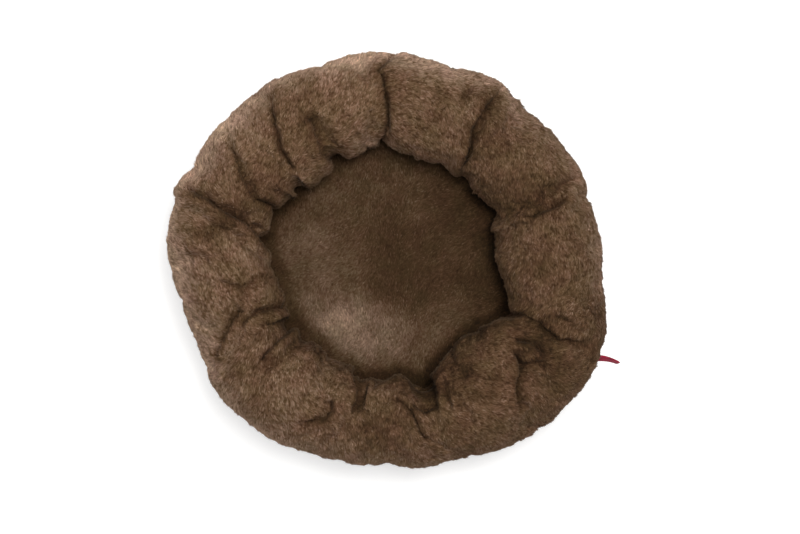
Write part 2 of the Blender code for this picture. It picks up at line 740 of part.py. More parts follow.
def add_side_label(bed, ribbon):
    """Ribbon folded in a loop. Its origin is the upright axis at its sewn root."""
    half_width = LABEL_WIDTH / 2
    up = Vector((0, 0, 1))
    stations = label_stations()
    near = RIBBON_GAP / 2
    far = near + RIBBON_THICKNESS
    outer = []
    inner = []
    tip, heading, lean = stations[-1]
    legs = [(1, station) for station in stations[:-1]]
    fold = [(0, (tip, heading, lean))]
    back = [(-1, station) for station in reversed(stations[:-1])]
    for leg, (place, heading, lean) in legs + fold + back:
        across = up.cross(heading)
        edge = math.cos(lean) * up + math.sin(lean) * across
        outward = (math.cos(lean) * across - math.sin(lean) * up) * leg
        if leg == 0:
            outward = heading
        half = edge * half_width
        outer.append([place + outward * far - half, place + outward * far + half])
        inner.append([place + outward * near - half, place + outward * near + half])
    radius, height = cover_surface(LABEL_AZIMUTH, BULGE_ROW, -LABEL_CLEARANCE)
    place = at(LABEL_AZIMUTH, radius, height)
    add_piece("side_label", sheet_mesh(outer, inner), ribbon, bed, place, LABEL_AZIMUTH)


def main():
    for old in list(bpy.data.objects):
        bpy.data.objects.remove(old)
    bed = bpy.data.objects.new("bed", None)
    bpy.context.collection.objects.link(bed)
    finish = {name: make_material(name) for name in FINISHES}
    metal = finish["bronze_metal"]
    add_bolster_panels(bed, finish["bolster_plush"])
    add_seat_panel(bed, finish["seat_plush"])
    add_base_panel(bed, finish["base_cloth"])
    add_bolster_filling(bed, finish["liner_cloth"], finish["fibre_fill"])
    add_seat_filling(bed, finish["liner_cloth"], finish["fibre_fill"])
    add_gather_elastic(bed, finish["elastic_tape"])
    add_zip_band(bed, finish["zip_tape_cloth"], finish["zip_coil_plastic"], metal)
    slider = add_zip_slider(bed, metal)
    add_zip_pull(slider, metal)
    add_side_label(bed, finish["red_ribbon"])


main()
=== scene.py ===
"""Looks of the donut pet bed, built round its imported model.

Lengths are in metres and angles in degrees. Azimuths run anticlockwise from +X, seen from
above. Rows run along the ring's section: 0 at the seat seam, 2 at the bulge into the hole,
5 at the crest, 8 at the outer bulge and 11 at the cover's lower edge.
"""

import json
import math

import bmesh
import bpy
import numpy as np
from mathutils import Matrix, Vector


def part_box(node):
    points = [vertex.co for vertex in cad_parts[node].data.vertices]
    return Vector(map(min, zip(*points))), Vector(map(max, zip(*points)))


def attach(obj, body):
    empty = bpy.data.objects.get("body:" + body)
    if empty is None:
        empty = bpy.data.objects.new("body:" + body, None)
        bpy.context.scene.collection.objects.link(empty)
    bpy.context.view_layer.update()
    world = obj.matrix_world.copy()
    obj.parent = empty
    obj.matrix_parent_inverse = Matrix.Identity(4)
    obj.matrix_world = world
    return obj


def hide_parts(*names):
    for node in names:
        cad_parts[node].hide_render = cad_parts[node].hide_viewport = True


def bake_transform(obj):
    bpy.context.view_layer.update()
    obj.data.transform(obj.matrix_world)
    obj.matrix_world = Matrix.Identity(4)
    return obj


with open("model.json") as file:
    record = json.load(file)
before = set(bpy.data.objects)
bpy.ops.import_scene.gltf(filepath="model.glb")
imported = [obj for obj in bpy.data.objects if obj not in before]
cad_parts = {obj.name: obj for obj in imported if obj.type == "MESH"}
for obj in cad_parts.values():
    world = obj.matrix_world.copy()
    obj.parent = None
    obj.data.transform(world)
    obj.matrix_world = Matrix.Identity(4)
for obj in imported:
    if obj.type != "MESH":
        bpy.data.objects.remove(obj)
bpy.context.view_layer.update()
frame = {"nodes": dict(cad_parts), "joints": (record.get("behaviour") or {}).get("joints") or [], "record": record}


def every_30(*values):
    """(azimuth, value) knots for values 30 degrees apart."""
    return tuple(zip(range(0, 360, 30), values))


# Photograph: its frame, the bed's centre in it, and the size of a pixel at the outer bulge
PHOTO_WIDTH = 800
PHOTO_HEIGHT = 534
BED_CENTRE_PX = (387, 260)
PIXEL = 0.001367
CAMERA_DISTANCE = 2.2
SENSOR_WIDTH = 36

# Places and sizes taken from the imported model
SEAT_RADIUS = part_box("seat_panel")[1].x
SEAM_RADIUS = SEAT_RADIUS - 0.002
SEAT_EDGE_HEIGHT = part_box("gather_elastic")[1].z
EDGE_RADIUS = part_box("base_panel")[1].x + 0.0003
UPSTAND_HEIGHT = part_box("base_panel")[1].z
EDGE_HEIGHT = UPSTAND_HEIGHT - 0.008

# Ring section
OUTER_RADIUS = 0.300
HOLE_RADIUS = 0.150
CREST_HEIGHT = 0.160
OUTER_BULGE_HEIGHT = 0.082
HOLE_BULGE_HEIGHT = 0.096
SEAM_HEIGHT = 0.057
BELLY_RUN = 0.022
BELLY_DIP = 0.003
FLANK_SHARE = 0.9
PLUMP_SHARE = 0.3
HOLE_ROW = 2
CREST_ROW = 5
BULGE_ROW = 8
EDGE_ROW = 11

# Grid of the ring: fine columns and rows, and the step between those in the simulation
COLUMNS = 1080
ROWS = 251
COARSE_STEP = 5
PANEL_SEAMS = {"left": (91, 211), "front": (211, 335), "right": (335, 451)}

# Seat
SEAT_CROWN = 0.014
SEAT_HOLLOW_DEPTH = 0.005
SEAT_PILE_ROOM = 0.003
SEAT_GRID = 189
SEAT_COARSE_STEP = 4
HOLLOW_SHARES = ((35, 0.45, 0.35, 1.0), (160, 0.55, 0.30, 0.7), (290, 0.60, 0.25, 0.8))

# Folds and lumps
CREASE_DEPTH = 0.019
CREASE_WIDTH = 0.006
LIP_HEIGHT = 0.008
LIP_LEAN = 0.0060
SHOULDER_WIDTH = 0.016
PUCKER_HEIGHT = 0.0035
PUCKER_SPACING = 0.017
PUCKER_LENGTH = 0.060
LUMP_HEIGHT = 0.0035
LUMP_SIZE = 0.045
RELIEF_HEIGHT = 0.0012
RELIEF_SIZE = 0.008

# Cloth simulation
PRESSURE = 4
SLACK = 0.05
FRAMES = 18
MOST_MOVE = 0.008
SEAT_PRESSURE = 1.2
SEAT_MOST_MOVE = 0.005
CLOTH = {
    "quality": 5, "mass": 0.3, "tension_stiffness": 15, "compression_stiffness": 15,
    "shear_stiffness": 5, "bending_stiffness": 0.5, "vertex_group_mass": "held",
    "use_pressure": True,
}

# Pile
PILE_INSET = 0.0082
BOLSTER_PILE = {
    "count": 49500, "length": 0.0056, "width": 0.00112, "lift": 24,
    "mixed": 0.34, "clumped": 0.20, "pitted": 0.58,
}
SEAT_PILE = {
    "count": 49500, "length": 0.0047, "width": 0.00105, "lift": 18,
    "mixed": 0.30, "clumped": 0.12, "pitted": 0.34,
}
BOLSTER_PILE_PARTS = 4
SEAT_PILE_PARTS = 2
CLUMP_SIZE = 0.0034
CLUMP_PULL = 0.40
PIT_SIZE = (0.0028, 0.0028, 0.0028)
TUFT_FACES = np.array([(0, 3, 2), (2, 3, 1), (1, 3, 0), (0, 2, 1)])

# Nap: the tufts' heading in degrees from the rows' direction, and how it swirls.
# Swirls and mottles are (weight, size, seed) of each noise.
NAPS = {"left": -57, "front": 25, "right": -105}
BOLSTER_SWIRL = ((45, 0.065, 8), (25, 0.024, 9))
SEAT_NAP = 60
SEAT_SWIRL = ((50, 0.080, 11), (20, 0.025, 12))

# Hem: the row of the ring's skin that is tucked under the seat's edge
HEM_HEIGHT = 0.0505
HEM_LEAN = 0.0006
HEM_SHADE = 0.8

# Tones: lighter above 0. Patches are (azimuth, pixels from the centre, size in pixels, tone).
# Patches of nap brushed differently and of painted light and shade: lit patches, and painted shade in fold valleys
# and hollows.
NAP_AND_LIGHT_PATCHES = (
    (234, 170, 26, 0.26), (0, 150, 26, -0.16), (181, 150, 18, 0.1), (104, 180, 26, 0.16),
    (60, 165, 24, 0.12), (142, 195, 22, 0.16), (300, 185, 24, -0.08), (203, 180, 26, 0.3),
    (43, 152, 14, -0.25), (115, 198, 12, -0.16), (270, 175, 22, -0.26), (277, 130, 12, -0.34),
    (294, 142, 14, -0.32), (306, 131, 14, -0.4), (311, 158, 14, -0.3), (322, 120, 22, -0.24),
    (205, 130, 14, -0.18), (330, 200, 24, -0.2), (20, 155, 24, -0.28), (90, 132, 20, 0.3),
    (150, 150, 20, -0.26), (331, 166, 30, -0.46), (60, 132, 18, 0.14), (240, 132, 16, 0.24),
    (345, 168, 18, -0.16), (122, 150, 18, -0.1), (329, 155, 20, -0.56), (30, 148, 26, -0.34),
    (0, 150, 30, -0.16), (300, 138, 20, -0.3), (300, 172, 16, -0.2), (90, 152, 14, -0.24),
    (330, 192, 14, -0.16), (149, 188, 24, 0.34), (183, 180, 22, 0.3), (152, 135, 16, -0.2),
    (240, 150, 18, -0.14), (167, 185, 16, 0.36), (161, 154, 12, -0.26), (285, 144, 8, 0.36),
    (279, 150, 8, -0.34), (289, 134, 7, -0.5), (257, 131, 6, -0.5), (55.5, 182, 11, -0.4),
    (54, 160, 11, -0.3), (52.5, 140, 10, -0.36), (51, 124, 9, -0.3), (92, 184, 8, -0.3),
    (91, 168, 8, -0.3), (120, 150, 10, -0.3), (121, 132, 10, -0.34), (206, 184, 7, -0.5),
    (209, 196, 6, -0.5), (204, 174, 7, -0.4), (209, 180, 7, 0.24), (213, 194, 7, 0.24),
)
# Painted sheen: the outer side made lighter or darker by azimuth, for light grazing the pile.
PAINTED_RIM_SHEEN = every_30(0.54, 0.42, 0.84, 1.24, 1, 1.14, 1.12, 0.9, 0.7, 0.36, 0.04, -0.28)
# Painted light and shade on the hole's lip, mostly painted shade under its overhang.
PAINTED_LIP_LIGHT_AND_SHADE = every_30(-0.18, -0.22, 0.06, 0.34, 0.16, -0.04, -0.1, -0.06, 0, -0.4, -0.4, -0.38)
BOLSTER_MOTTLE = ((0.18, 0.016, 14),)
SEAT_MOTTLE = ((0.13, 0.014, 15),)
NAP_AND_LIGHT_HEIGHT = 0.14
SEAT_NAP_AND_LIGHT_HEIGHT = 0.065
SEAT_EDGE_BAND = 0.018
SEAT_EDGE_SHADE = every_30(0.95, 1, 0.42, 0.2, 0.32, 0.5, 0.58, 0.52, 0.5, 0.95, 1, 1)
# Seat patches of brushed nap and of painted light and shade: a painted lit patch away from the ring, and painted
# shade near its edge.
SEAT_NAP_AND_LIGHT_PATCHES = (
    (242, 72, 34, 1.08), (212, 86, 28, 0.4), (172, 82, 32, 0.46), (275, 86, 26, 0.58),
    (20, 85, 46, -0.16), (340, 70, 34, -0.14), (78, 30, 34, -0.24), (195, 40, 40, 0.1),
    (130, 84, 24, 0.2), (302, 84, 20, 0.22), (330, 30, 34, -0.16), (8, 106, 24, -0.5),
    (32, 104, 24, -0.5), (346, 105, 20, -0.34), (242, 30, 26, -0.2), (270, 40, 26, -0.24),
)

# Zip, base and seat edge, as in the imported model
ZIP_START = 12
ZIP_END = 168
TAPE_RADIUS = 0.2507
TAPE_THICKNESS = 0.0007
LOWER_TAPE = (0.0025, 0.011)
UPPER_TAPE = (0.013, 0.0265)
COIL_RADIUS = 0.2525
COIL_SIZE = 0.0022
COIL_WIRE = 0.00034
COIL_SPACING = 0.0014
COIL_STEPS = 10
COIL_HEIGHTS = {"lower": 0.0103, "upper": 0.0137}
UPSTAND_THICKNESS = 0.0020
UPSTAND_FOOT = 0.0012
LOW_UPSTAND_HEIGHT = 0.006
BASE_CLOTH_THICKNESS = 0.0015
BASE_GRID = 97
DOT_HEIGHT = 0.0008
DOT_RADIUS = 0.0016
DOT_PITCH = 0.012
METAL_EDGE = 0.00025
ELASTIC_RADIUS = 0.1897
ELASTIC_THICKNESS = 0.0010
ELASTIC_HEIGHTS = (0.0468, 0.0566)
FOOT_RADII = (0.1915, 0.2445)
FLOOR_HEIGHT = 0.0030
LINER_INSET = 0.0068
FIBRE_INSET = 0.0088
FILLING_REACH = 8
FILLING_STEP = 4
BACKING_THICKNESS = 0.0015

# Outline of the ring: (azimuth, pixels from the centre)
OUTLINE_PX = (
    (0, 215), (10, 213), (15, 211), (22, 211), (31, 209), (40, 207), (47, 205), (51, 208),
    (58, 211), (63, 207.5), (72, 205), (79, 204.5), (86, 208), (100, 208), (106, 205.5),
    (115, 207), (123, 211), (130, 210), (140, 213), (145, 216), (153, 217), (156, 220),
    (161, 227), (163, 226), (166, 222.5), (172, 222), (178, 219), (183, 214), (190, 210.5),
    (200, 208), (209, 210), (220, 212.5), (232, 213.5), (243, 209), (250, 205.5), (260, 204),
    (270, 204), (277, 207), (285, 209.5), (293, 213), (300, 219), (305, 223), (313, 226),
    (319, 228.5), (326, 231), (333, 232), (337, 229.5), (341, 230), (345, 225), (350, 221),
    (353, 217), (357, 215.5),
)

# Edge of the hole: (azimuth, pixels from the centre)
HOLE_PX = (
    (0, 107), (5, 106.5), (13, 110), (17, 107), (22, 114), (25, 115), (30, 112), (38, 107),
    (45, 108.5), (50, 104), (60, 107.5), (65, 105), (73, 102.5), (83, 105), (93, 111),
    (100, 108.5), (105, 107), (110, 105), (117, 107), (120, 103.5), (130, 101), (138, 103),
    (141, 110), (145, 106), (150, 110), (155, 114), (160, 119), (165, 118.5), (173, 118),
    (180, 112), (186, 108), (195, 107), (205, 106), (210, 106), (213, 110), (217, 108),
    (222, 109), (230, 106), (235, 108), (242, 113), (247, 111), (250, 109), (257, 116),
    (259, 118), (262, 115.5), (268, 117), (275, 112.5), (280, 115), (286.5, 125), (290, 118),
    (295, 113), (305, 108), (312, 106), (320, 109), (326, 111), (330, 117), (336, 126.5),
    (341, 124), (346, 117), (350, 113), (356, 108.5),
)

# Creases: shares of the crease depth and width, lip, then (azimuth, pixels from the centre).
# A lip above 0 stands up on the side of greater azimuth, and one below 0 on the other side.
CREASES = (
    (0.45, 1.2, -0.5, ((18, 197), (17.5, 185), (16.5, 170), (16, 155), (15, 140))),
    (0.25, 1.2, 0.3, ((24.5, 205), (23, 190), (25, 175), (21, 162), (22, 150), (23, 118))),
    (0.85, 1.4, 0.8, ((56, 208), (57.5, 190), (57.5, 155), (56, 145), (54, 130), (51, 108))),
    (0.35, 1.2, -0.4, ((66, 203), (65, 190), (64, 170))),
    (0.2, 1.2, 0, ((74, 190), (72, 178), (72, 160))),
    (0.66, 0.9, 0.5, ((89, 212), (90, 205), (93, 195), (91.5, 180), (91, 150), (91, 130),
        (93, 112))),
    (0.72, 1.3, 0.6, ((117.5, 168), (118, 150), (119, 140), (120, 125), (121, 118), (118, 106))),
    (0.22, 0.8, 0, ((122, 165), (122, 152))),
    (0.55, 1, -0.4, ((125, 205), (127, 195), (129, 180), (131, 165), (134, 150), (134.5, 140),
        (136, 130), (138, 119))),
    (0.5, 1.1, 0.7, ((143, 205), (145, 192), (147, 182), (149.5, 172), (152, 160), (154, 150),
        (156, 140), (158, 120))),
    (1, 1.3, 0.8, ((161, 222), (162, 205), (162.5, 190), (164, 175), (164.5, 160), (166, 140),
        (169, 128), (173, 116))),
    (0.35, 2.2, 0, ((174, 195), (172, 180), (169, 165), (168, 150))),
    (0.4, 1.1, -0.5, ((188, 175), (190, 155), (192, 145), (190, 135), (188, 128), (189, 110))),
    (1.05, 1.1, 0.8, ((212, 206), (210, 198), (207, 187), (203.5, 170), (201, 160), (199.5, 148))),
    (0.7, 0.7, 0.4, ((205, 160), (204, 150), (203, 140), (203, 128), (204, 108))),
    (0.5, 0.8, -0.4, ((208, 135), (210, 125), (213, 110))),
    (0.9, 0.9, 0.7, ((219, 160), (218.5, 150), (218, 140), (217, 125), (216.5, 108))),
    (0.35, 0.9, 0, ((222, 165), (222, 150), (223, 130), (223, 112))),
    (0.45, 1.1, 0.6, ((242, 185), (246, 178), (249, 170), (250, 158), (249, 150), (248, 145))),
    (0.85, 0.8, -0.5, ((258, 155), (257, 150), (258, 140), (257.5, 130), (256, 120), (254, 112))),
    (0.25, 1, 0, ((262, 175), (263, 160))),
    (0.45, 1, 0.6, ((281, 165), (280, 150), (278, 142), (275, 137), (272, 135))),
    (0.5, 0.8, -0.5, ((283, 190), (281, 178), (280.5, 165), (280, 150))),
    (1, 1.4, 0.4, ((285, 157), (286.5, 149), (288, 142), (288.5, 135), (287, 120))),
    (0.3, 1.6, 0, ((291, 143), (296, 142))),
    (0.3, 1.6, 0, ((304, 142), (305, 135), (307, 122))),
    (0.85, 1.2, -0.9, ((310, 207), (312, 195), (314, 185), (317, 177), (320, 172), (322, 163),
        (324, 152))),
    (0.45, 1, 0.5, ((328, 190), (326, 182), (323, 172), (322, 162))),
    (0.45, 0.9, -0.4, ((328, 183), (330, 178), (331, 165), (329.5, 155), (328, 145))),
    (0.65, 0.7, 0.5, ((338, 218), (337, 205), (336, 190), (337, 172), (338, 160), (338, 145),
        (337, 124))),
    (0.35, 1.1, 0.4, ((342, 205), (342, 185), (341, 170))),
)

# Label
LABEL_WIDTH = 0.018
LABEL_LENGTH = 0.030
LABEL_AZIMUTH = 335
LABEL_TURNS = (24, -2)
LABEL_LEANS = (28, 10)
LABEL_STATIONS = 24
RIBBON_GAP = 0.0006
RIBBON_THICKNESS = 0.0005

# Colours, as linear red, green and blue
PLUSH_RED = (0.156, 0.085, 0.050)
PLUSH_MID = (0.149, 0.0855, 0.0475)
PLUSH_OLIVE = (0.143, 0.0865, 0.0455)
SEAT_RED = (0.079, 0.0425, 0.0225)
SEAT_MID = (0.0765, 0.043, 0.0217)
SEAT_OLIVE = (0.0737, 0.0438, 0.0212)
SKIN_SHADE = 0.75
CREASE_SHADE = 1.15
BASE_CLOTH = (0.045, 0.033, 0.026)
ZIP_CLOTH = (0.080, 0.055, 0.040)
ZIP_PLASTIC = (0.110, 0.076, 0.056)
BRONZE = (0.26, 0.18, 0.12)
CRIMSON = (0.36, 0.010, 0.040)
DEEP_CRIMSON = (0.22, 0.006, 0.026)
LINER_CLOTH = (0.62, 0.60, 0.56)
FIBRE = (0.80, 0.80, 0.78)
ELASTIC = (0.70, 0.68, 0.64)
RUBBER = (0.02, 0.017, 0.015)
SHEEN_TINT = (0.74, 0.52, 0.34, 1)

# Floor and light: the floor glows more from the nearer reach to the farther
FLOOR_GREY = (0.80, 0.80, 0.80)
FLOOR_REACH = 6
FLOOR_LEVEL = -0.0005
FLOOR_CORNERS = ((-1, -1), (1, -1), (1, 1), (-1, 1))
FLOOR_GLOW = 0.42
FAR_GLOW = 1.0
GLOW_REACH = (0.8, 2.5)
WORLD_LIGHT = 0.55
LAMPS = (
    ("key", (0.46, 0.58, 2.45), 1.2, 45, (1, 0.985, 0.96)),
    ("fill", (-1.8, 0.2, 1.7), 2.0, 8),
)

UP = np.array([0, 0, 1])


def around(knots, azimuths):
    """Smooth closed curve through (azimuth, value) knots, read at many azimuths."""
    places, values = np.array(knots, float).T
    count = len(places)
    places = np.concatenate([places[-2:] - 360, places, places[:3] + 360])
    values = np.concatenate([values[-2:], values, values[:3]])
    azimuths = np.asarray(azimuths, float) % 360
    first = np.clip(np.searchsorted(places, azimuths, side="right") - 1, 1, count + 2)
    span = places[first + 1] - places[first]
    share = (azimuths - places[first]) / span
    slopes = (values[2:] - values[:-2]) / (places[2:] - places[:-2])
    square = share * share
    cube = square * share
    return (
        (2 * cube - 3 * square + 1) * values[first]
        + (cube - 2 * square + share) * slopes[first - 1] * span
        + (3 * square - 2 * cube) * values[first + 1]
        + (cube - square) * slopes[first] * span
    )


def section(azimuths, rows):
    """Radius and height of the ring's outside without folds, one column to an azimuth."""
    rows = np.asarray(rows, float)
    outer = around(OUTLINE_PX, azimuths)[:, None] * PIXEL
    hole = around(HOLE_PX, azimuths)[:, None] * PIXEL
    crest = (outer + hole) / 2
    width_share = (outer - hole) / (OUTER_RADIUS - HOLE_RADIUS)
    top = CREST_HEIGHT * (1 + PLUMP_SHARE * (width_share - 1))
    radius = np.zeros((len(azimuths), len(rows)))
    height = np.zeros_like(radius)
    wall = rows <= HOLE_ROW
    turn = math.pi / 2 * rows[wall] / HOLE_ROW
    radius[:, wall] = SEAM_RADIUS - (SEAM_RADIUS - hole) * np.sin(turn)
    height[:, wall] = SEAM_HEIGHT + (HOLE_BULGE_HEIGHT - SEAM_HEIGHT) * (1 - np.cos(turn))
    inside = (rows > HOLE_ROW) & (rows <= CREST_ROW)
    turn = math.pi / 2 * (rows[inside] - HOLE_ROW) / (CREST_ROW - HOLE_ROW)
    radius[:, inside] = crest - (crest - hole) * np.cos(turn)
    height[:, inside] = HOLE_BULGE_HEIGHT + (top - HOLE_BULGE_HEIGHT) * np.sin(turn)
    outside = (rows > CREST_ROW) & (rows <= BULGE_ROW)
    turn = math.pi / 2 * (rows[outside] - CREST_ROW) / (BULGE_ROW - CREST_ROW)
    radius[:, outside] = crest + (outer - crest) * np.sin(turn)
    height[:, outside] = OUTER_BULGE_HEIGHT + (top - OUTER_BULGE_HEIGHT) * np.cos(turn)
    under = rows > BULGE_ROW
    share = (rows[under] - BULGE_ROW) / (EDGE_ROW - BULGE_ROW)
    rest = 1 - share
    flank = OUTER_BULGE_HEIGHT - FLANK_SHARE * (OUTER_BULGE_HEIGHT - EDGE_HEIGHT)
    belly = (EDGE_RADIUS + BELLY_RUN, EDGE_HEIGHT - BELLY_DIP)
    weights = (rest**3, 3 * rest**2 * share, 3 * rest * share**2, share**3)
    radius[:, under] = (
        (weights[0] + weights[1]) * outer + weights[2] * belly[0] + weights[3] * EDGE_RADIUS
    )
    height[:, under] = (
        weights[0] * OUTER_BULGE_HEIGHT
        + weights[1] * flank
        + weights[2] * belly[1]
        + weights[3] * EDGE_HEIGHT
    )
    return radius, height


def even_rows():
    """Rows of the fine grid, evenly spaced along a middling section, and their arc lengths."""
    dense = np.linspace(0, EDGE_ROW, 2000)
    radius, height = section([190], dense)
    steps = np.hypot(np.diff(radius[0]), np.diff(height[0]))
    arc = np.concatenate([[0], np.cumsum(steps)])
    arcs = np.linspace(0, arc[-1], ROWS)
    return np.interp(arcs, arc, dense), arcs


AZIMUTHS = np.arange(COLUMNS) * 360 / COLUMNS
GRID_ROWS, ARCS = even_rows()


def turned(azimuths, radius, height):
    """Points in space of a grid given by radius and height."""
    turn = np.radians(azimuths)[:, None]
    return np.stack([radius * np.cos(turn), radius * np.sin(turn), height], axis=-1)


def eased(share):
    """Share held between 0 and 1, leaving and reaching both gently."""
    share = np.clip(share, 0, 1)
    return share * share * (3 - 2 * share)


def unit(vectors):
    return vectors / np.maximum(np.linalg.norm(vectors, axis=-1, keepdims=True), 1e-12)


def hashed(cells, seed):
    """A number from -1 to 1 for each whole-number cell."""
    primes = np.array([374761393, 668265263, 2246822519], np.uint64)
    mixed = (cells.astype(np.int64).astype(np.uint64) * primes).sum(axis=-1)
    mixed = (mixed + np.uint64(seed * 3266489917)) & np.uint64(0xFFFFFFFF)
    mixed = ((mixed ^ (mixed >> np.uint64(13))) * np.uint64(1274126177)) & np.uint64(0xFFFFFFFF)
    mixed = ((mixed ^ (mixed >> np.uint64(15))) * np.uint64(2654435761)) & np.uint64(0xFFFFFFFF)
    return (mixed ^ (mixed >> np.uint64(16))) / 2**31 - 1


def noise(places, size, seed):
    """Smooth noise from -1 to 1 over places, in patches of about one size."""
    scaled = places / np.asarray(size)
    cell = np.floor(scaled)
    part = scaled - cell
    part = part * part * (3 - 2 * part)
    total = np.zeros(places.shape[:-1])
    for corner in range(8):
        step = np.array([corner & 1, corner >> 1 & 1, corner >> 2 & 1])
        weight = np.prod(np.where(step, part, 1 - part), axis=-1)
        total += weight * hashed(cell + step, seed)
    return total


def uneven(places, parts, start=0):
    """Sum of noises over places, each given by its weight, size and seed."""
    return sum((weight * noise(places, size, seed) for weight, size, seed in parts), start)


class Skin:
    """Points over one cloth surface in columns and rows, with its directions."""

    def __init__(self, points, closed):
        self.points = points
        self.closed = closed
        self.along = unit(np.gradient(points, axis=1))
        if closed:
            across = np.roll(points, -1, axis=0) - np.roll(points, 1, axis=0)
        else:
            across = np.gradient(points, axis=0)
        self.across = unit(across)
        self.normals = unit(np.cross(self.along, self.across))


def seen_row(azimuth, pixels):
    """Row of the ring's top that shows so many pixels from the centre, seen from above."""
    dense = np.linspace(HOLE_ROW, BULGE_ROW, 300)
    radius, height = section([azimuth], dense)
    distance = CAMERA_DISTANCE + OUTER_BULGE_HEIGHT - height[0]
    seen = radius[0] / PIXEL * CAMERA_DISTANCE / distance
    return np.interp(pixels, seen, dense)


def crease_shares(radius):
    """Shares of crease depth, lip height, lean across the crease and shade, over the grid.

    The lean is a share along the columns and one along the rows.
    """
    depth_total = np.zeros_like(radius)
    lip_total = np.zeros_like(radius)
    shade_total = np.zeros_like(radius)
    lean_total = np.zeros((*radius.shape, 2))
    for depth, width, lip, points in CREASES:
        places = [(azimuth, seen_row(azimuth, pixels)) for azimuth, pixels in points]
        into_hole = places[-1][1] < HOLE_ROW + 0.6
        if into_hole:
            places.append((points[-1][0], HOLE_ROW * 0.5))
            places.append((points[-1][0], 0))
        count = len(places)
        steps = np.linspace(0, count - 1, 12 * (count - 1) + 1)
        line_azimuth = np.interp(steps, range(count), [place[0] for place in places])
        line_row = np.interp(steps, range(count), [place[1] for place in places])
        line_arc = np.interp(line_row, GRID_ROWS, ARCS)
        fade = np.clip(steps / 0.8, 0, 1)
        if not into_hole:
            fade = np.minimum(fade, np.clip((count - 1 - steps) / 0.8, 0, 1))
        fade = eased(fade)
        if into_hole:
            fade = fade * np.clip(min(depth, 1) * (0.4 + line_row / HOLE_ROW * 0.4), 0, 1)
        apart = (AZIMUTHS[:, None] - line_azimuth + 180) % 360 - 180
        near = np.nonzero(np.abs(apart).min(axis=1) < 16)[0]
        sideways = np.radians(apart[near])[:, None, :] * radius[near][:, :, None]
        lengthways = ARCS[None, :, None] - line_arc
        square = sideways**2 + lengthways**2
        nearest = square.argmin(axis=2)[..., None]
        square, *ways = (
            np.take_along_axis(way, nearest, 2)[..., 0] for way in (square, sideways, lengthways)
        )
        distance = np.sqrt(square)
        strength = depth * fade[nearest[..., 0]]
        lipped = ways[0] * lip > 0
        reach = width * CREASE_WIDTH * np.where(lipped, 1 - 0.45 * abs(lip), 1 + 0.6 * abs(lip))
        core = np.exp(-((distance / reach) ** 2))
        shoulder = np.exp(-distance / (SHOULDER_WIDTH * width))
        depth_total[near] += strength * (0.72 * core + 0.28 * shoulder)
        crown = np.exp(-(((distance - 2.1 * reach) / (1.5 * reach)) ** 2))
        lip_total[near] += np.where(lipped, abs(lip) * strength * crown, 0)
        fold = np.exp(-(((distance - 1.6 * reach) / (1.3 * reach)) ** 2))
        lean = np.where(lipped, (0.3 + 0.7 * abs(lip)) * np.sqrt(strength) * fold, 0)
        lean = (lean / np.maximum(distance, 0.002))[..., None]
        lean_total[near] -= lean * np.stack(ways, axis=-1)
        valley = np.exp(-((distance / (CREASE_WIDTH * width)) ** 2))
        shade_total[near] += np.sqrt(strength) * valley
    depth_total = 1.15 * (1 - np.exp(-depth_total / 1.15))
    return depth_total, lip_total, lean_total, np.minimum(shade_total, 1)


def lowest(field, reach):
    """Least value of a closed grid within so many rows of each point and twice the columns."""
    low = field.copy()
    for step in range(1, 2 * reach + 1):
        beside = np.minimum(np.roll(field, step, axis=0), np.roll(field, -step, axis=0))
        low = np.minimum(low, beside)
    across = low.copy()
    for step in range(1, reach + 1):
        low[:, step:] = np.minimum(low[:, step:], across[:, :-step])
        low[:, :-step] = np.minimum(low[:, :-step], across[:, step:])
    return low


def inflate(points, faces, held, pressure, slack, most):
    """Points after a cloth simulation under pressure, none moved further than most.

    held is each point's pin weight, and slack is how much larger the cloth is cut.
    """
    mesh = bpy.data.meshes.new("inflating")
    mesh.from_pydata(points.tolist(), [], faces.tolist())
    cushion = bpy.data.objects.new("inflating", mesh)
    bpy.context.scene.collection.objects.link(cushion)
    group = cushion.vertex_groups.new(name="held")
    levels = np.round(held * 10).astype(int)
    for level in range(1, 11):
        group.add(np.nonzero(levels == level)[0].tolist(), level / 10, "REPLACE")
    cloth = cushion.modifiers.new("cloth", "CLOTH")
    for key, value in CLOTH.items():
        setattr(cloth.settings, key, value)
    cloth.settings.uniform_pressure_force = pressure
    cloth.settings.shrink_min = -slack
    cloth.settings.effector_weights.gravity = 0
    cloth.collision_settings.use_collision = False
    cloth.point_cache.frame_start = 1
    cloth.point_cache.frame_end = FRAMES
    for step in range(1, FRAMES + 1):
        bpy.context.scene.frame_set(step)
    graph = bpy.context.evaluated_depsgraph_get()
    after = np.empty(len(points) * 3, np.float32)
    cushion.evaluated_get(graph).data.vertices.foreach_get("co", after)
    bpy.data.objects.remove(cushion)
    bpy.context.scene.frame_set(1)
    move = after.reshape(-1, 3).astype(float) - points
    far = np.linalg.norm(move, axis=1, keepdims=True)
    return points + move * np.minimum(1, most / np.maximum(far, 1e-9))


def grid_faces(columns, rows, closed_columns, closed_rows=False):
    """Quads of a grid whose points go row by row along each column."""
    across = np.arange(columns if closed_columns else columns - 1)
    down = np.arange(rows if closed_rows else rows - 1)
    here, row = np.meshgrid(across, down, indexing="ij")
    beside = (here + 1) % columns
    below = (row + 1) % rows
    quads = (here * rows + row, here * rows + below, beside * rows + below, beside * rows + row)
    return np.stack(quads, axis=-1).reshape(-1, 4)


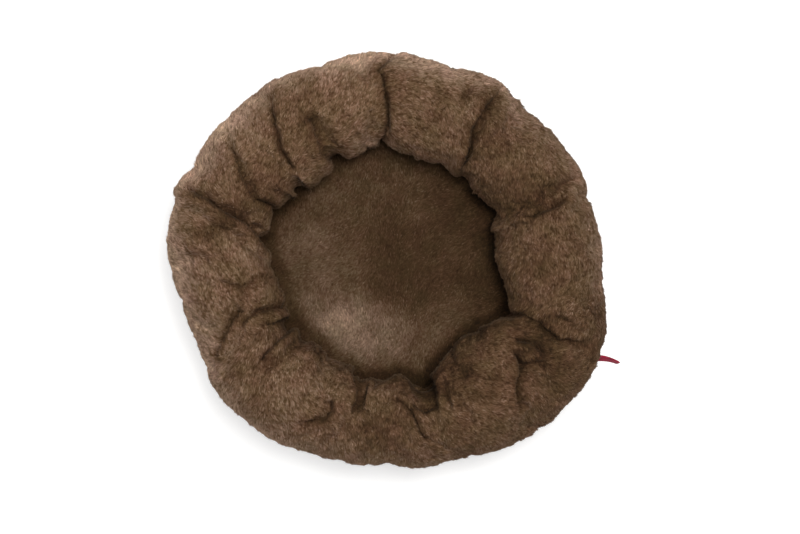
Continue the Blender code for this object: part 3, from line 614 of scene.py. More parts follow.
def refined(field, times, closed):
    """Field with its first axis read so many times as finely, by cubic interpolation."""
    if closed:
        padded = np.concatenate([field[-1:], field, field[:2]])
        place = np.arange(len(field) * times) / times
        base = place.astype(int)
    else:
        before = 2 * field[:1] - field[1:2]
        after = 2 * field[-1:] - field[-2:-1]
        padded = np.concatenate([before, field, after])
        place = np.arange((len(field) - 1) * times + 1) / times
        base = np.minimum(place.astype(int), len(field) - 2)
    share = (place - base).reshape(-1, *[1] * (field.ndim - 1))
    first, second, third, fourth = (padded[base + step] for step in range(4))
    return 0.5 * (
        2 * second
        + (third - first) * share
        + (2 * first - 5 * second + 4 * third - fourth) * share**2
        + (3 * second - first - 3 * third + fourth) * share**3
    )


def refined_grid(field, times, closed):
    rows_done = refined(np.swapaxes(field, 0, 1), times, False)
    return refined(np.swapaxes(rows_done, 0, 1), times, closed)


def ring_skin():
    """The ring's plush backing: section, folds, puckers and lumps, then the simulated swell.

    With it go the shade of the creases, and the ring inside that the fillings keep within.
    """
    radius, height = section(AZIMUTHS, GRID_ROWS)
    plain = Skin(turned(AZIMUTHS, radius, height), True)
    depth, lip, lean, shade = crease_shares(radius)
    flat = np.stack(
        [
            np.cos(np.radians(AZIMUTHS))[:, None] * OUTER_RADIUS * np.ones(ROWS),
            np.sin(np.radians(AZIMUTHS))[:, None] * OUTER_RADIUS * np.ones(ROWS),
            np.ones(COLUMNS)[:, None] * ARCS,
        ],
        axis=-1,
    )
    pucker_size = (PUCKER_SPACING, PUCKER_SPACING, PUCKER_LENGTH)
    inner = np.exp(-(((GRID_ROWS - 1.2) / 1.8) ** 2))
    lower = np.exp(-(((GRID_ROWS - EDGE_ROW) / 2.2) ** 2))
    puckers = noise(flat, pucker_size, 1) * (0.25 + 0.3 * inner + 0.8 * lower) * PUCKER_HEIGHT
    lumps = noise(plain.points, LUMP_SIZE, 2) * LUMP_HEIGHT
    lumps += noise(plain.points, LUMP_SIZE * 0.45, 3) * LUMP_HEIGHT * 0.4
    rise = puckers + lumps - depth * CREASE_DEPTH + lip * LIP_HEIGHT - PILE_INSET
    rise *= np.clip((EDGE_ROW - GRID_ROWS) / 0.6, 0.25, 1) * np.clip(GRID_ROWS / 0.9, 0.05, 1)
    points = plain.points + plain.normals * rise[..., None]
    points += LIP_LEAN * (plain.across * lean[..., :1] + plain.along * lean[..., 1:])
    points = points + ring_swell(points, depth)
    relief = noise(plain.points, RELIEF_SIZE, 4) * RELIEF_HEIGHT
    points = points + plain.normals * relief[..., None]
    rise = lowest(((points - plain.points) * plain.normals).sum(axis=-1), FILLING_REACH)
    inside = Skin(plain.points + plain.normals * rise[..., None], True)
    inside.normals = plain.normals
    return Skin(points, True), shade, inside


def upright(azimuths, radii, heights):
    """Points in space of columns that all have the same radii and heights."""
    radii, heights = np.broadcast_arrays(radii, heights)
    shape = (len(azimuths), 1)
    return turned(azimuths, np.tile(radii, shape), np.tile(heights, shape))


def ring_swell(points, depth):
    """How the simulated pressure moves the ring's grid, held at its seams and creases."""
    coarse = points[::COARSE_STEP, ::COARSE_STEP]
    held = np.clip(depth[::COARSE_STEP, ::COARSE_STEP] * 1.6 - 0.25, 0, 1)
    held[:, :2] = 1
    held[:, -3:] = 1
    foot = upright(AZIMUTHS[::COARSE_STEP], [EDGE_RADIUS - 0.006, SEAM_RADIUS + 0.005], 0.003)
    closed = np.concatenate([coarse, foot], axis=1)
    columns, rows = closed.shape[:2]
    held = np.concatenate([held, np.ones((columns, 2))], axis=1)
    faces = grid_faces(columns, rows, True, True)
    start = closed.reshape(-1, 3)
    after = inflate(start, faces, held.ravel(), PRESSURE, SLACK, MOST_MOVE)
    move = (after - start).reshape(closed.shape)[:, : coarse.shape[1]]
    return refined_grid(move, COARSE_STEP, True)


def disc(count, reach):
    """A square grid drawn out to a disc: x, y and the share of the way to its edge."""
    side = np.linspace(-1, 1, count)
    first, second = np.meshgrid(side, side, indexing="ij")
    x = second * np.sqrt(1 - first**2 / 2) * reach
    y = first * np.sqrt(1 - second**2 / 2) * reach
    return x, y, np.hypot(x, y) / reach


def seat_skin():
    """The seat's plush backing, crowned and hollowed."""
    x, y, share = disc(SEAT_GRID, SEAT_RADIUS)
    height = SEAT_EDGE_HEIGHT + SEAT_CROWN * (1 - share**2)
    for azimuth, place, spread, depth in HOLLOW_SHARES:
        turn = math.radians(azimuth)
        away = np.hypot(
            x / SEAT_RADIUS - place * math.cos(turn), y / SEAT_RADIUS - place * math.sin(turn)
        )
        height -= SEAT_HOLLOW_DEPTH * depth * (1 - share**4) * np.exp(-((away / spread) ** 2))
    points = np.stack([x, y, height], axis=-1)
    wheel = np.stack([np.degrees(np.arctan2(y, x)) / 6, share * 2, 0 * share], axis=-1)
    points[..., 2] += noise(points, 0.055, 5) * 0.0025 * (1 - share**4)
    points[..., 2] += noise(wheel, 1, 6) * 0.0016 * share**3
    points[..., 2] -= SEAT_PILE_ROOM
    points = points + seat_swell(points)
    points[..., 2] += noise(points, 0.009, 7) * 0.0006
    return Skin(points, False)


def seat_swell(points):
    coarse = points[::SEAT_COARSE_STEP, ::SEAT_COARSE_STEP]
    count = len(coarse)
    held = np.ones((count, count))
    held[1:-1, 1:-1] = 0
    faces = grid_faces(count, count, False)
    start = coarse.reshape(-1, 3)
    after = inflate(start, faces, held.ravel(), SEAT_PRESSURE, 0.02, SEAT_MOST_MOVE)
    move = (after - start).reshape(coarse.shape)
    return refined_grid(move, SEAT_COARSE_STEP, False)


def new_object(name, mesh, finish, body="bed"):
    piece = bpy.data.objects.new(name, mesh)
    bpy.context.scene.collection.objects.link(piece)
    mesh.materials.append(finish.material)
    if body:
        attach(piece, body)
    return piece


def nap_and_light(points, patches, height):
    """How much lighter or darker each point is, from patches placed on the photograph of brushed nap and of
    painted light and shade.
    """
    total = np.zeros(points.shape[:2])
    wobble = 1 + 0.35 * noise(points, 0.03, 13)
    for azimuth, pixels, size, strength in patches:
        away = pixels * PIXEL * (CAMERA_DISTANCE + OUTER_BULGE_HEIGHT - height) / CAMERA_DISTANCE
        turn = math.radians(azimuth)
        x = points[..., 0] - away * math.cos(turn)
        y = points[..., 1] - away * math.sin(turn)
        total += strength * np.exp(-(x**2 + y**2) / (size * PIXEL * wobble) ** 2)
    return total


def mesh_from(name, vertices, faces):
    """Smooth mesh from arrays of vertices and of faces that all have as many corners."""
    mesh = bpy.data.meshes.new(name)
    sides = faces.shape[1]
    mesh.vertices.add(len(vertices))
    mesh.vertices.foreach_set("co", np.asarray(vertices, np.float32).ravel())
    mesh.loops.add(faces.size)
    mesh.loops.foreach_set("vertex_index", np.asarray(faces, np.int32).ravel())
    mesh.polygons.add(len(faces))
    mesh.polygons.foreach_set("loop_start", np.arange(0, faces.size, sides, dtype=np.int32))
    mesh.update(calc_edges=True)
    mesh.validate()
    mesh.shade_smooth()
    return mesh


def set_values(mesh, name, values):
    """A number for each of the mesh's points."""
    layer = mesh.attributes.new(name, "FLOAT", "POINT")
    layer.data.foreach_set("value", values.astype(np.float32).ravel())


def set_uv(mesh, places):
    layer = mesh.uv_layers.new(name="OFBake")
    layer.uv.foreach_set("vector", places.astype(np.float32).ravel())


def add_skin(name, points, finish, thickness, tone=None, body="bed"):
    """A cloth panel from its grid, with an inner side, a rim, and a square map."""
    columns, rows = points.shape[:2]
    faces = grid_faces(columns, rows, False)
    mesh = mesh_from(name, points.reshape(-1, 3), faces)
    corner = faces.ravel()
    set_uv(mesh, np.stack([corner // rows / (columns - 1), corner % rows / (rows - 1)], axis=-1))
    if tone is not None:
        set_values(mesh, "tone", np.exp(tone))
    piece = new_object(name, mesh, finish, body)
    solid = piece.modifiers.new("backing", "SOLIDIFY")
    solid.thickness = thickness
    solid.offset = -1
    return piece


def sample(field, column, row, across, down):
    """Field between four corners of a grid cell."""
    here = field[column, row] * ((1 - across) * (1 - down))[:, None]
    here += field[column + 1, row] * (across * (1 - down))[:, None]
    here += field[column, row + 1] * ((1 - across) * down)[:, None]
    return here + field[column + 1, row + 1] * (across * down)[:, None]


def pile_shape(
    skin, count, length, width, lift, mixed, clumped, pitted, nap, tone, weights, lengths, seed
):
    """Vertices, normals and shades of a pile of leaning tufts over a grid of points.

    nap gives the tufts' heading at each grid point, in degrees from the rows' direction, and
    tone how much lighter or darker they are there. mixed, clumped and pitted are how much
    single tufts, clumps and the gaps between them differ in shade.
    """
    rng = np.random.default_rng(seed)
    points = skin.points
    diagonal = points[1:, 1:] - points[:-1, :-1]
    other = points[1:, :-1] - points[:-1, 1:]
    area = np.linalg.norm(np.cross(diagonal, other), axis=-1) / 2
    heap = np.cumsum((area * weights[:-1, :-1]).ravel())
    drawn = (np.arange(count) + rng.random(count)) / count * heap[-1]
    cell = np.minimum(np.searchsorted(heap, drawn), len(heap) - 1)
    column, row = np.divmod(cell, points.shape[1] - 1)
    across = rng.random(count)
    down = rng.random(count)
    root = sample(points, column, row, across, down)
    normal = unit(sample(skin.normals, column, row, across, down))
    along = unit(sample(skin.along, column, row, across, down))
    sideways = unit(np.cross(along, normal))
    clump, offset = clumps(root, seed)
    heading = np.radians(nap[column, row] + clump[:, 0] * 18 + rng.normal(0, 7, count))
    lean = along * np.cos(heading)[:, None] - sideways * np.sin(heading)[:, None]
    rise = np.radians(lift + clump[:, 1] * 7 + rng.normal(0, 4, count))
    size = length * lengths[column, row] * (0.85 + 0.25 * clump[:, 2] + rng.normal(0, 0.07, count))
    size = np.maximum(size, length * 0.15)
    reach = lean * np.cos(rise)[:, None] + normal * np.sin(rise)[:, None]
    pull = offset - normal * (offset * normal).sum(axis=1, keepdims=True)
    tip = root + reach * size[:, None] + pull * CLUMP_PULL
    half = np.cross(normal, lean) * (width / 2 * (0.75 + 0.5 * rng.random(count)))[:, None]
    foot = root - normal * (0.05 * length)
    ridge = foot + normal * (0.45 * width)
    vertices = np.stack([foot - half, foot + half, ridge, tip], axis=1)
    outward = unit(half)
    soft = np.stack(
        [normal - 0.3 * outward, normal + 0.3 * outward, normal, normal + 0.3 * reach], axis=1
    )
    pits = np.clip((noise(root, PIT_SIZE, seed + 20) - 0.10) / 0.35, 0, 1)
    shade = tone[column, row] + clumped * clump[:, 3] - pitted * pits
    shade += rng.normal(0, mixed, count)
    return vertices, unit(soft), np.exp(shade)


def clumps(root, seed):
    """Four random numbers of each root's nearest clump, and the way to its middle."""
    cell = np.floor(root / CLUMP_SIZE)
    best = np.full(len(root), np.inf)
    numbers = np.zeros((len(root), 4))
    offset = np.zeros((len(root), 3))
    for step in range(27):
        at = cell + np.array([step % 3 - 1, step // 3 % 3 - 1, step // 9 - 1])
        jitter = np.stack([hashed(at, seed + k) for k in range(3)], axis=-1)
        way = (at + 0.5 + 0.45 * jitter) * CLUMP_SIZE - root
        far = np.linalg.norm(way, axis=1)
        nearer = far < best
        best[nearer] = far[nearer]
        offset[nearer] = way[nearer]
        numbers[nearer] = np.stack(
            [hashed(at[nearer], seed + 10 + k) for k in range(4)], axis=-1
        )
    return numbers, offset


def add_pile(name, points, finish, seed, shape, **fields):
    """A piece of closed three-sided tufts, each with a shade and a root-to-tip value."""
    vertices, soft, shade = pile_shape(Skin(points, False), seed=seed, **shape, **fields)
    count = len(vertices)
    faces = (np.arange(count)[:, None, None] * 4 + TUFT_FACES).reshape(-1, 3)
    mesh = mesh_from(name, vertices.reshape(-1, 3), faces)
    mesh.normals_split_custom_set_from_vertices(soft.reshape(-1, 3).tolist())
    set_values(mesh, "tone", np.repeat(shade, 4))
    set_values(mesh, "tip", np.tile([0, 0, 0.15, 1], count))
    set_uv(mesh, tuft_cells(count))
    return new_object(name, mesh, finish)


def tuft_cells(count):
    """Places in a map with one square cell to a tuft, each of its faces in a quarter."""
    side = math.ceil(math.sqrt(count))
    index = np.arange(count)
    cell = np.stack([index % side, index // side], axis=-1) / side
    quarter = np.array([(0, 0), (0.5, 0), (0, 0.5), (0.5, 0.5)]) / side
    corner = np.array([(0.03, 0.03), (0.43, 0.03), (0.03, 0.43)]) / side
    return cell[:, None, None] + quarter[None, :, None] + corner[None, None]


def feed(tree, node, inputs):
    """Set a node's inputs to values, or link them to other nodes' outputs."""
    for socket, value in inputs.items():
        if isinstance(value, bpy.types.NodeSocket):
            tree.links.new(value, node.inputs[socket])
        else:
            node.inputs[socket].default_value = value


def add_node(tree, kind, inputs, **values):
    node = tree.nodes.new(kind)
    for key, value in values.items():
        setattr(node, key, value)
    feed(tree, node, inputs)
    return node


class Finish:
    """A material with one Principled shader. It also keeps the name of a slot, which nothing reads."""

    def __init__(self, name, slot, roughness, **sockets):
        self.slot = slot
        self.material = bpy.data.materials.new(name)
        self.material.use_nodes = True
        self.tree = self.material.node_tree
        self.set(Roughness=roughness, **sockets)
        self.place = self.node("ShaderNodeTexCoord", {}).outputs["Object"]

    def set(self, **sockets):
        """Set or link the shader's inputs, named with _ for each space."""
        inputs = {socket.replace("_", " "): value for socket, value in sockets.items()}
        feed(self.tree, self.tree.nodes["Principled BSDF"], inputs)

    def node(self, kind, inputs, **values):
        return add_node(self.tree, kind, inputs, **values)

    def noise(self, size, detail=2, roughness=0.5):
        """Noise from 0 to 1 in patches of about one size."""
        inputs = {
            "Vector": self.place, "Scale": 1 / size, "Detail": detail, "Roughness": roughness
        }
        return self.node("ShaderNodeTexNoise", inputs).outputs["Fac"]

    def attribute(self, name):
        return self.node("ShaderNodeAttribute", {}, attribute_name=name).outputs["Fac"]

    def ramp(self, value, *stops):
        """Colours along a value, from (place, colour) stops."""
        node = self.node("ShaderNodeValToRGB", {"Fac": value})
        while len(node.color_ramp.elements) < len(stops):
            node.color_ramp.elements.new(0.5)
        for element, (place, colour) in zip(node.color_ramp.elements, stops):
            element.position = place
            element.color = (*colour, 1)
        return node.outputs["Color"]

    def scaled(self, value, low, high, start=0, end=1):
        """Value from start to end mapped to low to high."""
        ends = zip(("From Min", "From Max", "To Min", "To Max"), (start, end, low, high))
        return self.node("ShaderNodeMapRange", {"Value": value, **dict(ends)}).outputs["Result"]

    def math(self, operation, first, second=0):
        inputs = {0: first, 1: second}
        return self.node("ShaderNodeMath", inputs, operation=operation).outputs["Value"]

    def shaded(self, colour, value):
        """Colour made lighter or darker by a value."""
        inputs = {0: colour, "Scale": value}
        return self.node("ShaderNodeVectorMath", inputs, operation="SCALE").outputs["Vector"]

    def faded(self, colour, value):
        """Colour made paler where a value is high and richer where it is low."""
        inputs = {"Color": colour, "Saturation": self.scaled(value, 1.12, 0.78, 0.5, 2.2)}
        return self.node("ShaderNodeHueSaturation", inputs).outputs["Color"]

    def bump(self, value, strength, distance):
        inputs = {"Height": value, "Strength": strength, "Distance": distance}
        self.set(Normal=self.node("ShaderNodeBump", inputs).outputs["Normal"])

    def weave(self, size, strength, distance):
        """Bump of crossing threads, each of one size."""
        parts = self.node("ShaderNodeSeparateXYZ", {"Vector": self.place}).outputs
        waves = [
            self.math("SINE", self.math("MULTIPLY", parts[axis], math.pi / size))
            for axis in "XYZ"
        ]
        height = self.math("ADD", self.math("MULTIPLY", waves[0], waves[1]), waves[2])
        self.bump(height, strength, distance)
        return height


def plush_finish(name, slot, colours, shade=None):
    """Short plush: patches of hue, clumps of light and dark, and darker roots.

    With a shade it is the skin under the pile, which has no roots and tips.
    """
    finish = Finish(
        name, slot, 0.9, Sheen_Weight=0.10, Sheen_Roughness=0.45, Sheen_Tint=SHEEN_TINT,
        Specular_IOR_Level=0.1,
    )
    hue = finish.ramp(finish.noise(0.030, 3, 0.6), *zip((0.36, 0.5, 0.64), colours))
    broad = finish.scaled(finish.noise(0.050, 2, 0.5), 0.66, 1.34)
    value = finish.math("MULTIPLY", broad, finish.attribute("tone"))
    hue = finish.faded(hue, value)
    if shade:
        finish.bump(finish.noise(0.0025, 3, 0.6), 0.6, 0.001)
    else:
        shade = finish.scaled(finish.attribute("tip"), 0.70, 1.16)
    finish.set(Base_Color=finish.shaded(hue, finish.math("MULTIPLY", value, shade)))
    return finish


def panel_span(seams):
    """Columns of the fine grid from one seam to the next, both ends counted."""
    start, end = (round(seam * COLUMNS / 360) for seam in seams)
    return np.arange(start, end + 1) % COLUMNS


def strips(count, parts, number):
    """Slice of so many columns that is one of a number of parts, its last column shared."""
    return slice(number * count // parts, (number + 1) * count // parts + 1)


def add_bolster():
    """The ring's three panels, each a backing and its pile. Gives the ring inside them."""
    skin, shade, inside = ring_skin()
    colours = (PLUSH_RED, PLUSH_MID, PLUSH_OLIVE)
    pile = plush_finish("bolster_plush_tufts", "bolster_plush", colours)
    backing = plush_finish("bolster_plush_backing", "bolster_plush", colours, SKIN_SHADE)
    swirl = uneven(skin.points, BOLSTER_SWIRL)
    # Random mottle over patches of brushed nap and of painted light and shade.
    tone = uneven(skin.points, BOLSTER_MOTTLE, nap_and_light(skin.points, NAP_AND_LIGHT_PATCHES, NAP_AND_LIGHT_HEIGHT))
    # Painted sheen on the outer side, by azimuth.
    rim = eased((GRID_ROWS - CREST_ROW - 0.6) / (BULGE_ROW - CREST_ROW - 1.2))
    rim *= 1 - 0.7 * eased((GRID_ROWS - BULGE_ROW + 0.3) / 1.2)
    tone += around(PAINTED_RIM_SHEEN, AZIMUTHS)[:, None] * rim
    # Painted light and shade on the hole's lip, and painted shade in the creases' valleys.
    lip = np.exp(-(((GRID_ROWS - 1.6) / 1.1) ** 2))
    tone += around(PAINTED_LIP_LIGHT_AND_SHADE, AZIMUTHS)[:, None] * lip - CREASE_SHADE * shade
    lower = np.clip((EDGE_ROW - 1.2 - GRID_ROWS) / 2.5, 0.35, 1)
    upper = np.clip(GRID_ROWS / 1.2 + 0.3, 0.3, 1)
    weights = lower * upper * (1 - 0.3 * shade)
    lower = np.clip((EDGE_ROW - GRID_ROWS) / 1.6, 0.18, 1)
    upper = np.clip(GRID_ROWS + 0.35, 0.35, 1)
    lengths = lower * upper * (1 + 0.15 * noise(skin.points, 0.020, 10)) * (1 - 0.35 * shade)
    hem = upright(AZIMUTHS, [SEAM_RADIUS + HEM_LEAN], HEM_HEIGHT)
    hemmed = np.concatenate([hem, skin.points], axis=1)
    hemmed_tone = np.concatenate([tone[:, :1] - HEM_SHADE, tone], axis=1)
    seed = 100
    for side, seams in PANEL_SEAMS.items():
        span = panel_span(seams)
        panel = f"bolster_panel_{side}"
        cover = add_skin(
            f"{panel}_backing", hemmed[span], backing, BACKING_THICKNESS, hemmed_tone[span]
        )
        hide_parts(panel)
        for number in range(BOLSTER_PILE_PARTS):
            strip = span[strips(len(span), BOLSTER_PILE_PARTS, number)]
            add_pile(
                f"{panel}_tufts_{number + 1}", skin.points[strip], pile, seed, BOLSTER_PILE,
                nap=NAPS[side] + swirl[strip], tone=tone[strip], weights=weights[strip],
                lengths=lengths[strip],
            )
            seed += 1
    return inside


def add_seat():
    """The seat's backing and its pile. Gives the seat's skin."""
    skin = seat_skin()
    colours = (SEAT_RED, SEAT_MID, SEAT_OLIVE)
    pile = plush_finish("seat_plush_tufts", "seat_plush", colours)
    backing = plush_finish("seat_plush_backing", "seat_plush", colours, SKIN_SHADE)
    # Tone from patches of brushed nap and of painted light and shade.
    nap_and_light_tone = nap_and_light(skin.points, SEAT_NAP_AND_LIGHT_PATCHES, SEAT_NAP_AND_LIGHT_HEIGHT)
    tone = uneven(skin.points, SEAT_MOTTLE, nap_and_light_tone)
    x, y = skin.points[..., 0], skin.points[..., 1]
    azimuths = np.degrees(np.arctan2(y, x))
    reach = np.hypot(x, y) - around(HOLE_PX, azimuths) * PIXEL + SEAT_EDGE_BAND
    tone -= around(SEAT_EDGE_SHADE, azimuths) * np.clip(reach / SEAT_EDGE_BAND, 0, 1) ** 2
    cover = add_skin("seat_panel_backing", skin.points, backing, BACKING_THICKNESS, tone)
    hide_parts("seat_panel")
    nap = uneven(skin.points, SEAT_SWIRL, SEAT_NAP)
    even = np.ones(nap.shape)
    for number in range(SEAT_PILE_PARTS):
        strip = strips(SEAT_GRID, SEAT_PILE_PARTS, number)
        add_pile(
            f"seat_panel_tufts_{number + 1}", skin.points[strip], pile, 200 + number, SEAT_PILE,
            nap=nap[strip], tone=tone[strip], weights=even[strip], lengths=even[strip],
        )
    return skin


def cloth_finish(slot, colour, size, strength):
    """Plain woven or knitted cloth, named after its slot."""
    finish = Finish(slot, slot, 0.9, Specular_IOR_Level=0.2)
    threads = finish.scaled(finish.weave(size, strength, size * 0.4), 0.9, 1.05)
    fine = finish.scaled(finish.noise(size * 6, 3, 0.6), 0.85, 1.15)
    finish.set(Base_Color=finish.shaded(colour, finish.math("MULTIPLY", threads, fine)))
    return finish


def closed_tube(name, sections, finish, closed=False):
    """A solid from closed sections of points, swept in a line or right round."""
    columns, sides = sections.shape[:2]
    mesh = mesh_from(name, sections.reshape(-1, 3), grid_faces(columns, sides, closed, True))
    if not closed:
        shape = bmesh.new()
        shape.from_mesh(mesh)
        corners = list(shape.verts)
        shape.faces.new(corners[:sides])
        shape.faces.new(corners[-sides:][::-1])
        shape.to_mesh(mesh)
        shape.free()
        mesh.shade_smooth()
    return new_object(name, mesh, finish)


def ring_filling(node, ring, inset, finish):
    """One layer of the ring's cushion, set in from the plush and flat on the base."""
    first = np.searchsorted(GRID_ROWS, 1)
    points = ring.points[::FILLING_STEP, first::FILLING_STEP]
    normals = ring.normals[::FILLING_STEP, first::FILLING_STEP]
    extra = inset - LINER_INSET
    foot = upright(
        AZIMUTHS[::FILLING_STEP],
        [FOOT_RADII[1] - extra, *[FOOT_RADII[0] + extra] * 2],
        [*[FLOOR_HEIGHT + extra] * 2, SEAM_HEIGHT - 0.003 - extra],
    )
    sections = np.concatenate([points - normals * inset, foot], axis=1)
    piece = closed_tube(f"{node}_form", sections, finish, True)
    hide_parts(node)


def seat_filling(node, seat, inset, finish):
    """One layer of the seat's cushion, set in from the plush and flat on the base."""
    shrink = 1 - inset / SEAT_RADIUS
    points = seat.points[:: SEAT_COARSE_STEP // 2, :: SEAT_COARSE_STEP // 2]
    top = points * [shrink, shrink, 1] - [0, 0, inset]
    under = top * [0.98, 0.98, 0] + [0, 0, FLOOR_HEIGHT + inset - LINER_INSET]
    piece = pillow(f"{node}_form", top, under, finish)
    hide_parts(node)


def add_filling(ring, seat):
    """Linings and loose fibre of both cushions, and the elastic in the seam between them."""
    layers = (
        ("liner", LINER_INSET, cloth_finish("liner_cloth", LINER_CLOTH, 0.0008, 0.3)),
        ("fibre", FIBRE_INSET, cloth_finish("fibre_fill", FIBRE, 0.004, 0.8)),
    )
    for layer, inset, finish in layers:
        ring_filling(f"bolster_{layer}", ring, inset, finish)
    for layer, inset, finish in layers:
        seat_filling(f"seat_{layer}", seat, inset, finish)
    knit = cloth_finish("elastic_tape", ELASTIC, 0.0012, 0.6)
    piece = add_band(
        "gather_elastic_form", ELASTIC_RADIUS, ELASTIC_HEIGHTS, (0, 360), knit, ELASTIC_THICKNESS
    )
    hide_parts("gather_elastic")


def pillow(name, top, under, finish):
    """A closed form from a top and an underside grid, joined round their edges."""
    count = len(top)
    faces = grid_faces(count, count, False)
    grid = np.arange(count * count).reshape(count, count)
    edge = np.concatenate([grid[:-1, 0], grid[-1, :-1], grid[:0:-1, -1], grid[0, :0:-1]])
    after = np.roll(edge, -1)
    sides = np.stack([edge, edge + count * count, after + count * count, after], axis=-1)
    faces = np.concatenate([faces, faces[:, ::-1] + count * count, sides])
    mesh = mesh_from(name, np.concatenate([top.reshape(-1, 3), under.reshape(-1, 3)]), faces)
    shape = bmesh.new()
    shape.from_mesh(mesh)
    bmesh.ops.recalc_face_normals(shape, faces=shape.faces)
    shape.to_mesh(mesh)
    shape.free()
    return new_object(name, mesh, finish)


def add_band(name, radius, heights, azimuths, finish, thickness, ripple=0):
    """An upright strip of cloth round the bed."""
    turns = np.linspace(*azimuths, round((azimuths[1] - azimuths[0]) * 1.5) + 1)
    levels = np.linspace(heights[1], heights[0], 9)
    wave = ripple * np.sin(np.radians(turns)[:, None] * 97) * np.sin(np.linspace(0, math.pi, 9))
    points = turned(turns, radius + wave, np.tile(levels, (len(turns), 1)))
    return add_skin(name, points, finish, thickness)


def add_base():
    """Base cloth with its upstands, and the non-slip dots under it."""
    woven = cloth_finish("base_cloth", BASE_CLOTH, 0.0012, 0.5)
    reach = EDGE_RADIUS - 0.0008
    x, y, share = disc(BASE_GRID, reach)
    level = DOT_HEIGHT + BASE_CLOTH_THICKNESS
    points = np.stack([x, y, np.full_like(x, level)], axis=-1)
    points[..., 2] += 0.0003 * noise(points, 0.03, 16) * (1 - share**4)
    base = add_skin("base_panel_cloth", points, woven, BASE_CLOTH_THICKNESS)
    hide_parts("base_panel")
    back = add_band(
        "base_panel_upstand", EDGE_RADIUS - 0.0004, (UPSTAND_FOOT, UPSTAND_HEIGHT),
        (ZIP_END, 360 + ZIP_START), woven, UPSTAND_THICKNESS, 0.0003,
    )
    front = add_band(
        "base_panel_low_upstand", EDGE_RADIUS - 0.0014, (UPSTAND_FOOT, LOW_UPSTAND_HEIGHT),
        (ZIP_START, ZIP_END), woven, UPSTAND_THICKNESS,
    )
    dots = add_dots()


def add_dots():
    """Low domes of rubber in a triangular pattern, each closed on the cloth's side."""
    rubber = Finish(
        "non_slip_dots", "base_cloth", 0.55, Specular_IOR_Level=0.4, Base_Color=(*RUBBER, 1)
    )
    rise = DOT_PITCH * math.sqrt(3) / 2
    count = int(EDGE_RADIUS / rise)
    places = [
        ((column + 0.5 * (row % 2)) * DOT_PITCH, row * rise)
        for row in range(-count, count + 1)
        for column in range(-count - 4, count + 5)
    ]
    places = [place for place in places if math.hypot(*place) < EDGE_RADIUS - 0.008]
    turns = np.arange(10) * math.pi / 5
    circle = np.stack([np.cos(turns), np.sin(turns)], axis=-1)
    rings = [
        np.concatenate([circle * share, np.full((10, 1), level)], axis=1)
        for share, level in ((1, 1.25), (0.92, 0.5), (0.6, 0.12))
    ]
    dome = np.concatenate([*rings, [(0, 0, 0), (0, 0, 1.25)]])
    dome = dome * [DOT_RADIUS, DOT_RADIUS, DOT_HEIGHT]
    faces = []
    for side in range(10):
        beside = (side + 1) % 10
        for ring in (0, 10):
            faces.append((ring + side, ring + 10 + side, ring + 10 + beside))
            faces.append((ring + side, ring + 10 + beside, ring + beside))
        faces.append((20 + side, 30, 20 + beside))
        faces.append((side, beside, 31))
    centres = np.pad(places, ((0, 0), (0, 1)))
    vertices = (centres[:, None] + dome).reshape(-1, 3)
    corners = (np.arange(len(places))[:, None, None] * len(dome) + np.array(faces)).reshape(-1, 3)
    return new_object("base_panel_dots", mesh_from("base_panel_dots", vertices, corners), rubber)


def add_zip():
    """Cloth tapes, coils of plastic wire, and the metal pieces."""
    tape = cloth_finish("zip_tape_cloth", ZIP_CLOTH, 0.0006, 0.5)
    for side, heights in (("lower", LOWER_TAPE), ("upper", UPPER_TAPE)):
        piece = add_band(
            f"zip_tape_{side}_cloth", TAPE_RADIUS + TAPE_THICKNESS / 2, heights,
            (ZIP_START, ZIP_END), tape, TAPE_THICKNESS,
        )
        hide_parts(f"zip_tape_{side}")
    plastic = Finish(
        "zip_coil_plastic", "zip_coil_plastic", 0.45, Specular_IOR_Level=0.4,
        Base_Color=(*ZIP_PLASTIC, 1),
    )
    for side, middle in COIL_HEIGHTS.items():
        add_coil(side, middle, plastic)
    metal = Finish("bronze_metal", "bronze_metal", 0.38, Metallic=0.9)
    bright = tuple(1.25 * share for share in BRONZE)
    metal.set(Base_Color=metal.ramp(metal.noise(0.004, 3, 0.6), (0.3, BRONZE), (0.75, bright)))
    for node, body in (
        ("zip_slider", "slider"), ("zip_pull", "pull"),
        ("zip_start_stop", "bed"), ("zip_end_stop", "bed"),
    ):
        piece = frame["nodes"][node].copy()
        piece.data = piece.data.copy()
        piece.name = f"{node}_form"
        bpy.context.scene.collection.objects.link(piece)
        for key in list(piece.keys()):
            del piece[key]
        piece.data.materials.clear()
        piece.data.materials.append(metal.material)
        piece.modifiers.new("weld", "WELD").merge_threshold = 0.00001
        bevel = piece.modifiers.new("edges", "BEVEL")
        bevel.width = METAL_EDGE
        bevel.segments = 2
        bevel.limit_method = "ANGLE"
        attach(piece, body)
        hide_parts(node)


def add_coil(side, middle, finish):
    """One row of coil: a wire wound round a line that follows the tape's edge."""
    turns = round(math.radians(ZIP_END - ZIP_START) * COIL_RADIUS / COIL_SPACING)
    place = np.arange(turns * COIL_STEPS + 1) / (turns * COIL_STEPS)
    azimuth = np.radians(ZIP_START + (ZIP_END - ZIP_START) * place)
    phase = 2 * math.pi * turns * place
    out = np.stack([np.cos(azimuth), np.sin(azimuth), 0 * azimuth], axis=-1)
    round_way = np.cos(phase)[:, None] * out + np.sin(phase)[:, None] * UP
    centre = out * COIL_RADIUS + UP * middle + round_way * (COIL_SIZE / 2 - COIL_WIRE)
    way = unit(np.gradient(centre, axis=0))
    across = unit(np.cross(way, round_way))
    angles = np.arange(5) * 2 * math.pi / 5
    sections = (
        centre[:, None]
        + np.cos(angles)[None, :, None] * round_way[:, None] * COIL_WIRE
        + np.sin(angles)[None, :, None] * across[:, None] * COIL_WIRE
    )
    piece = closed_tube(f"zip_coil_{side}_wire", sections, finish)
    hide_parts(f"zip_coil_{side}")


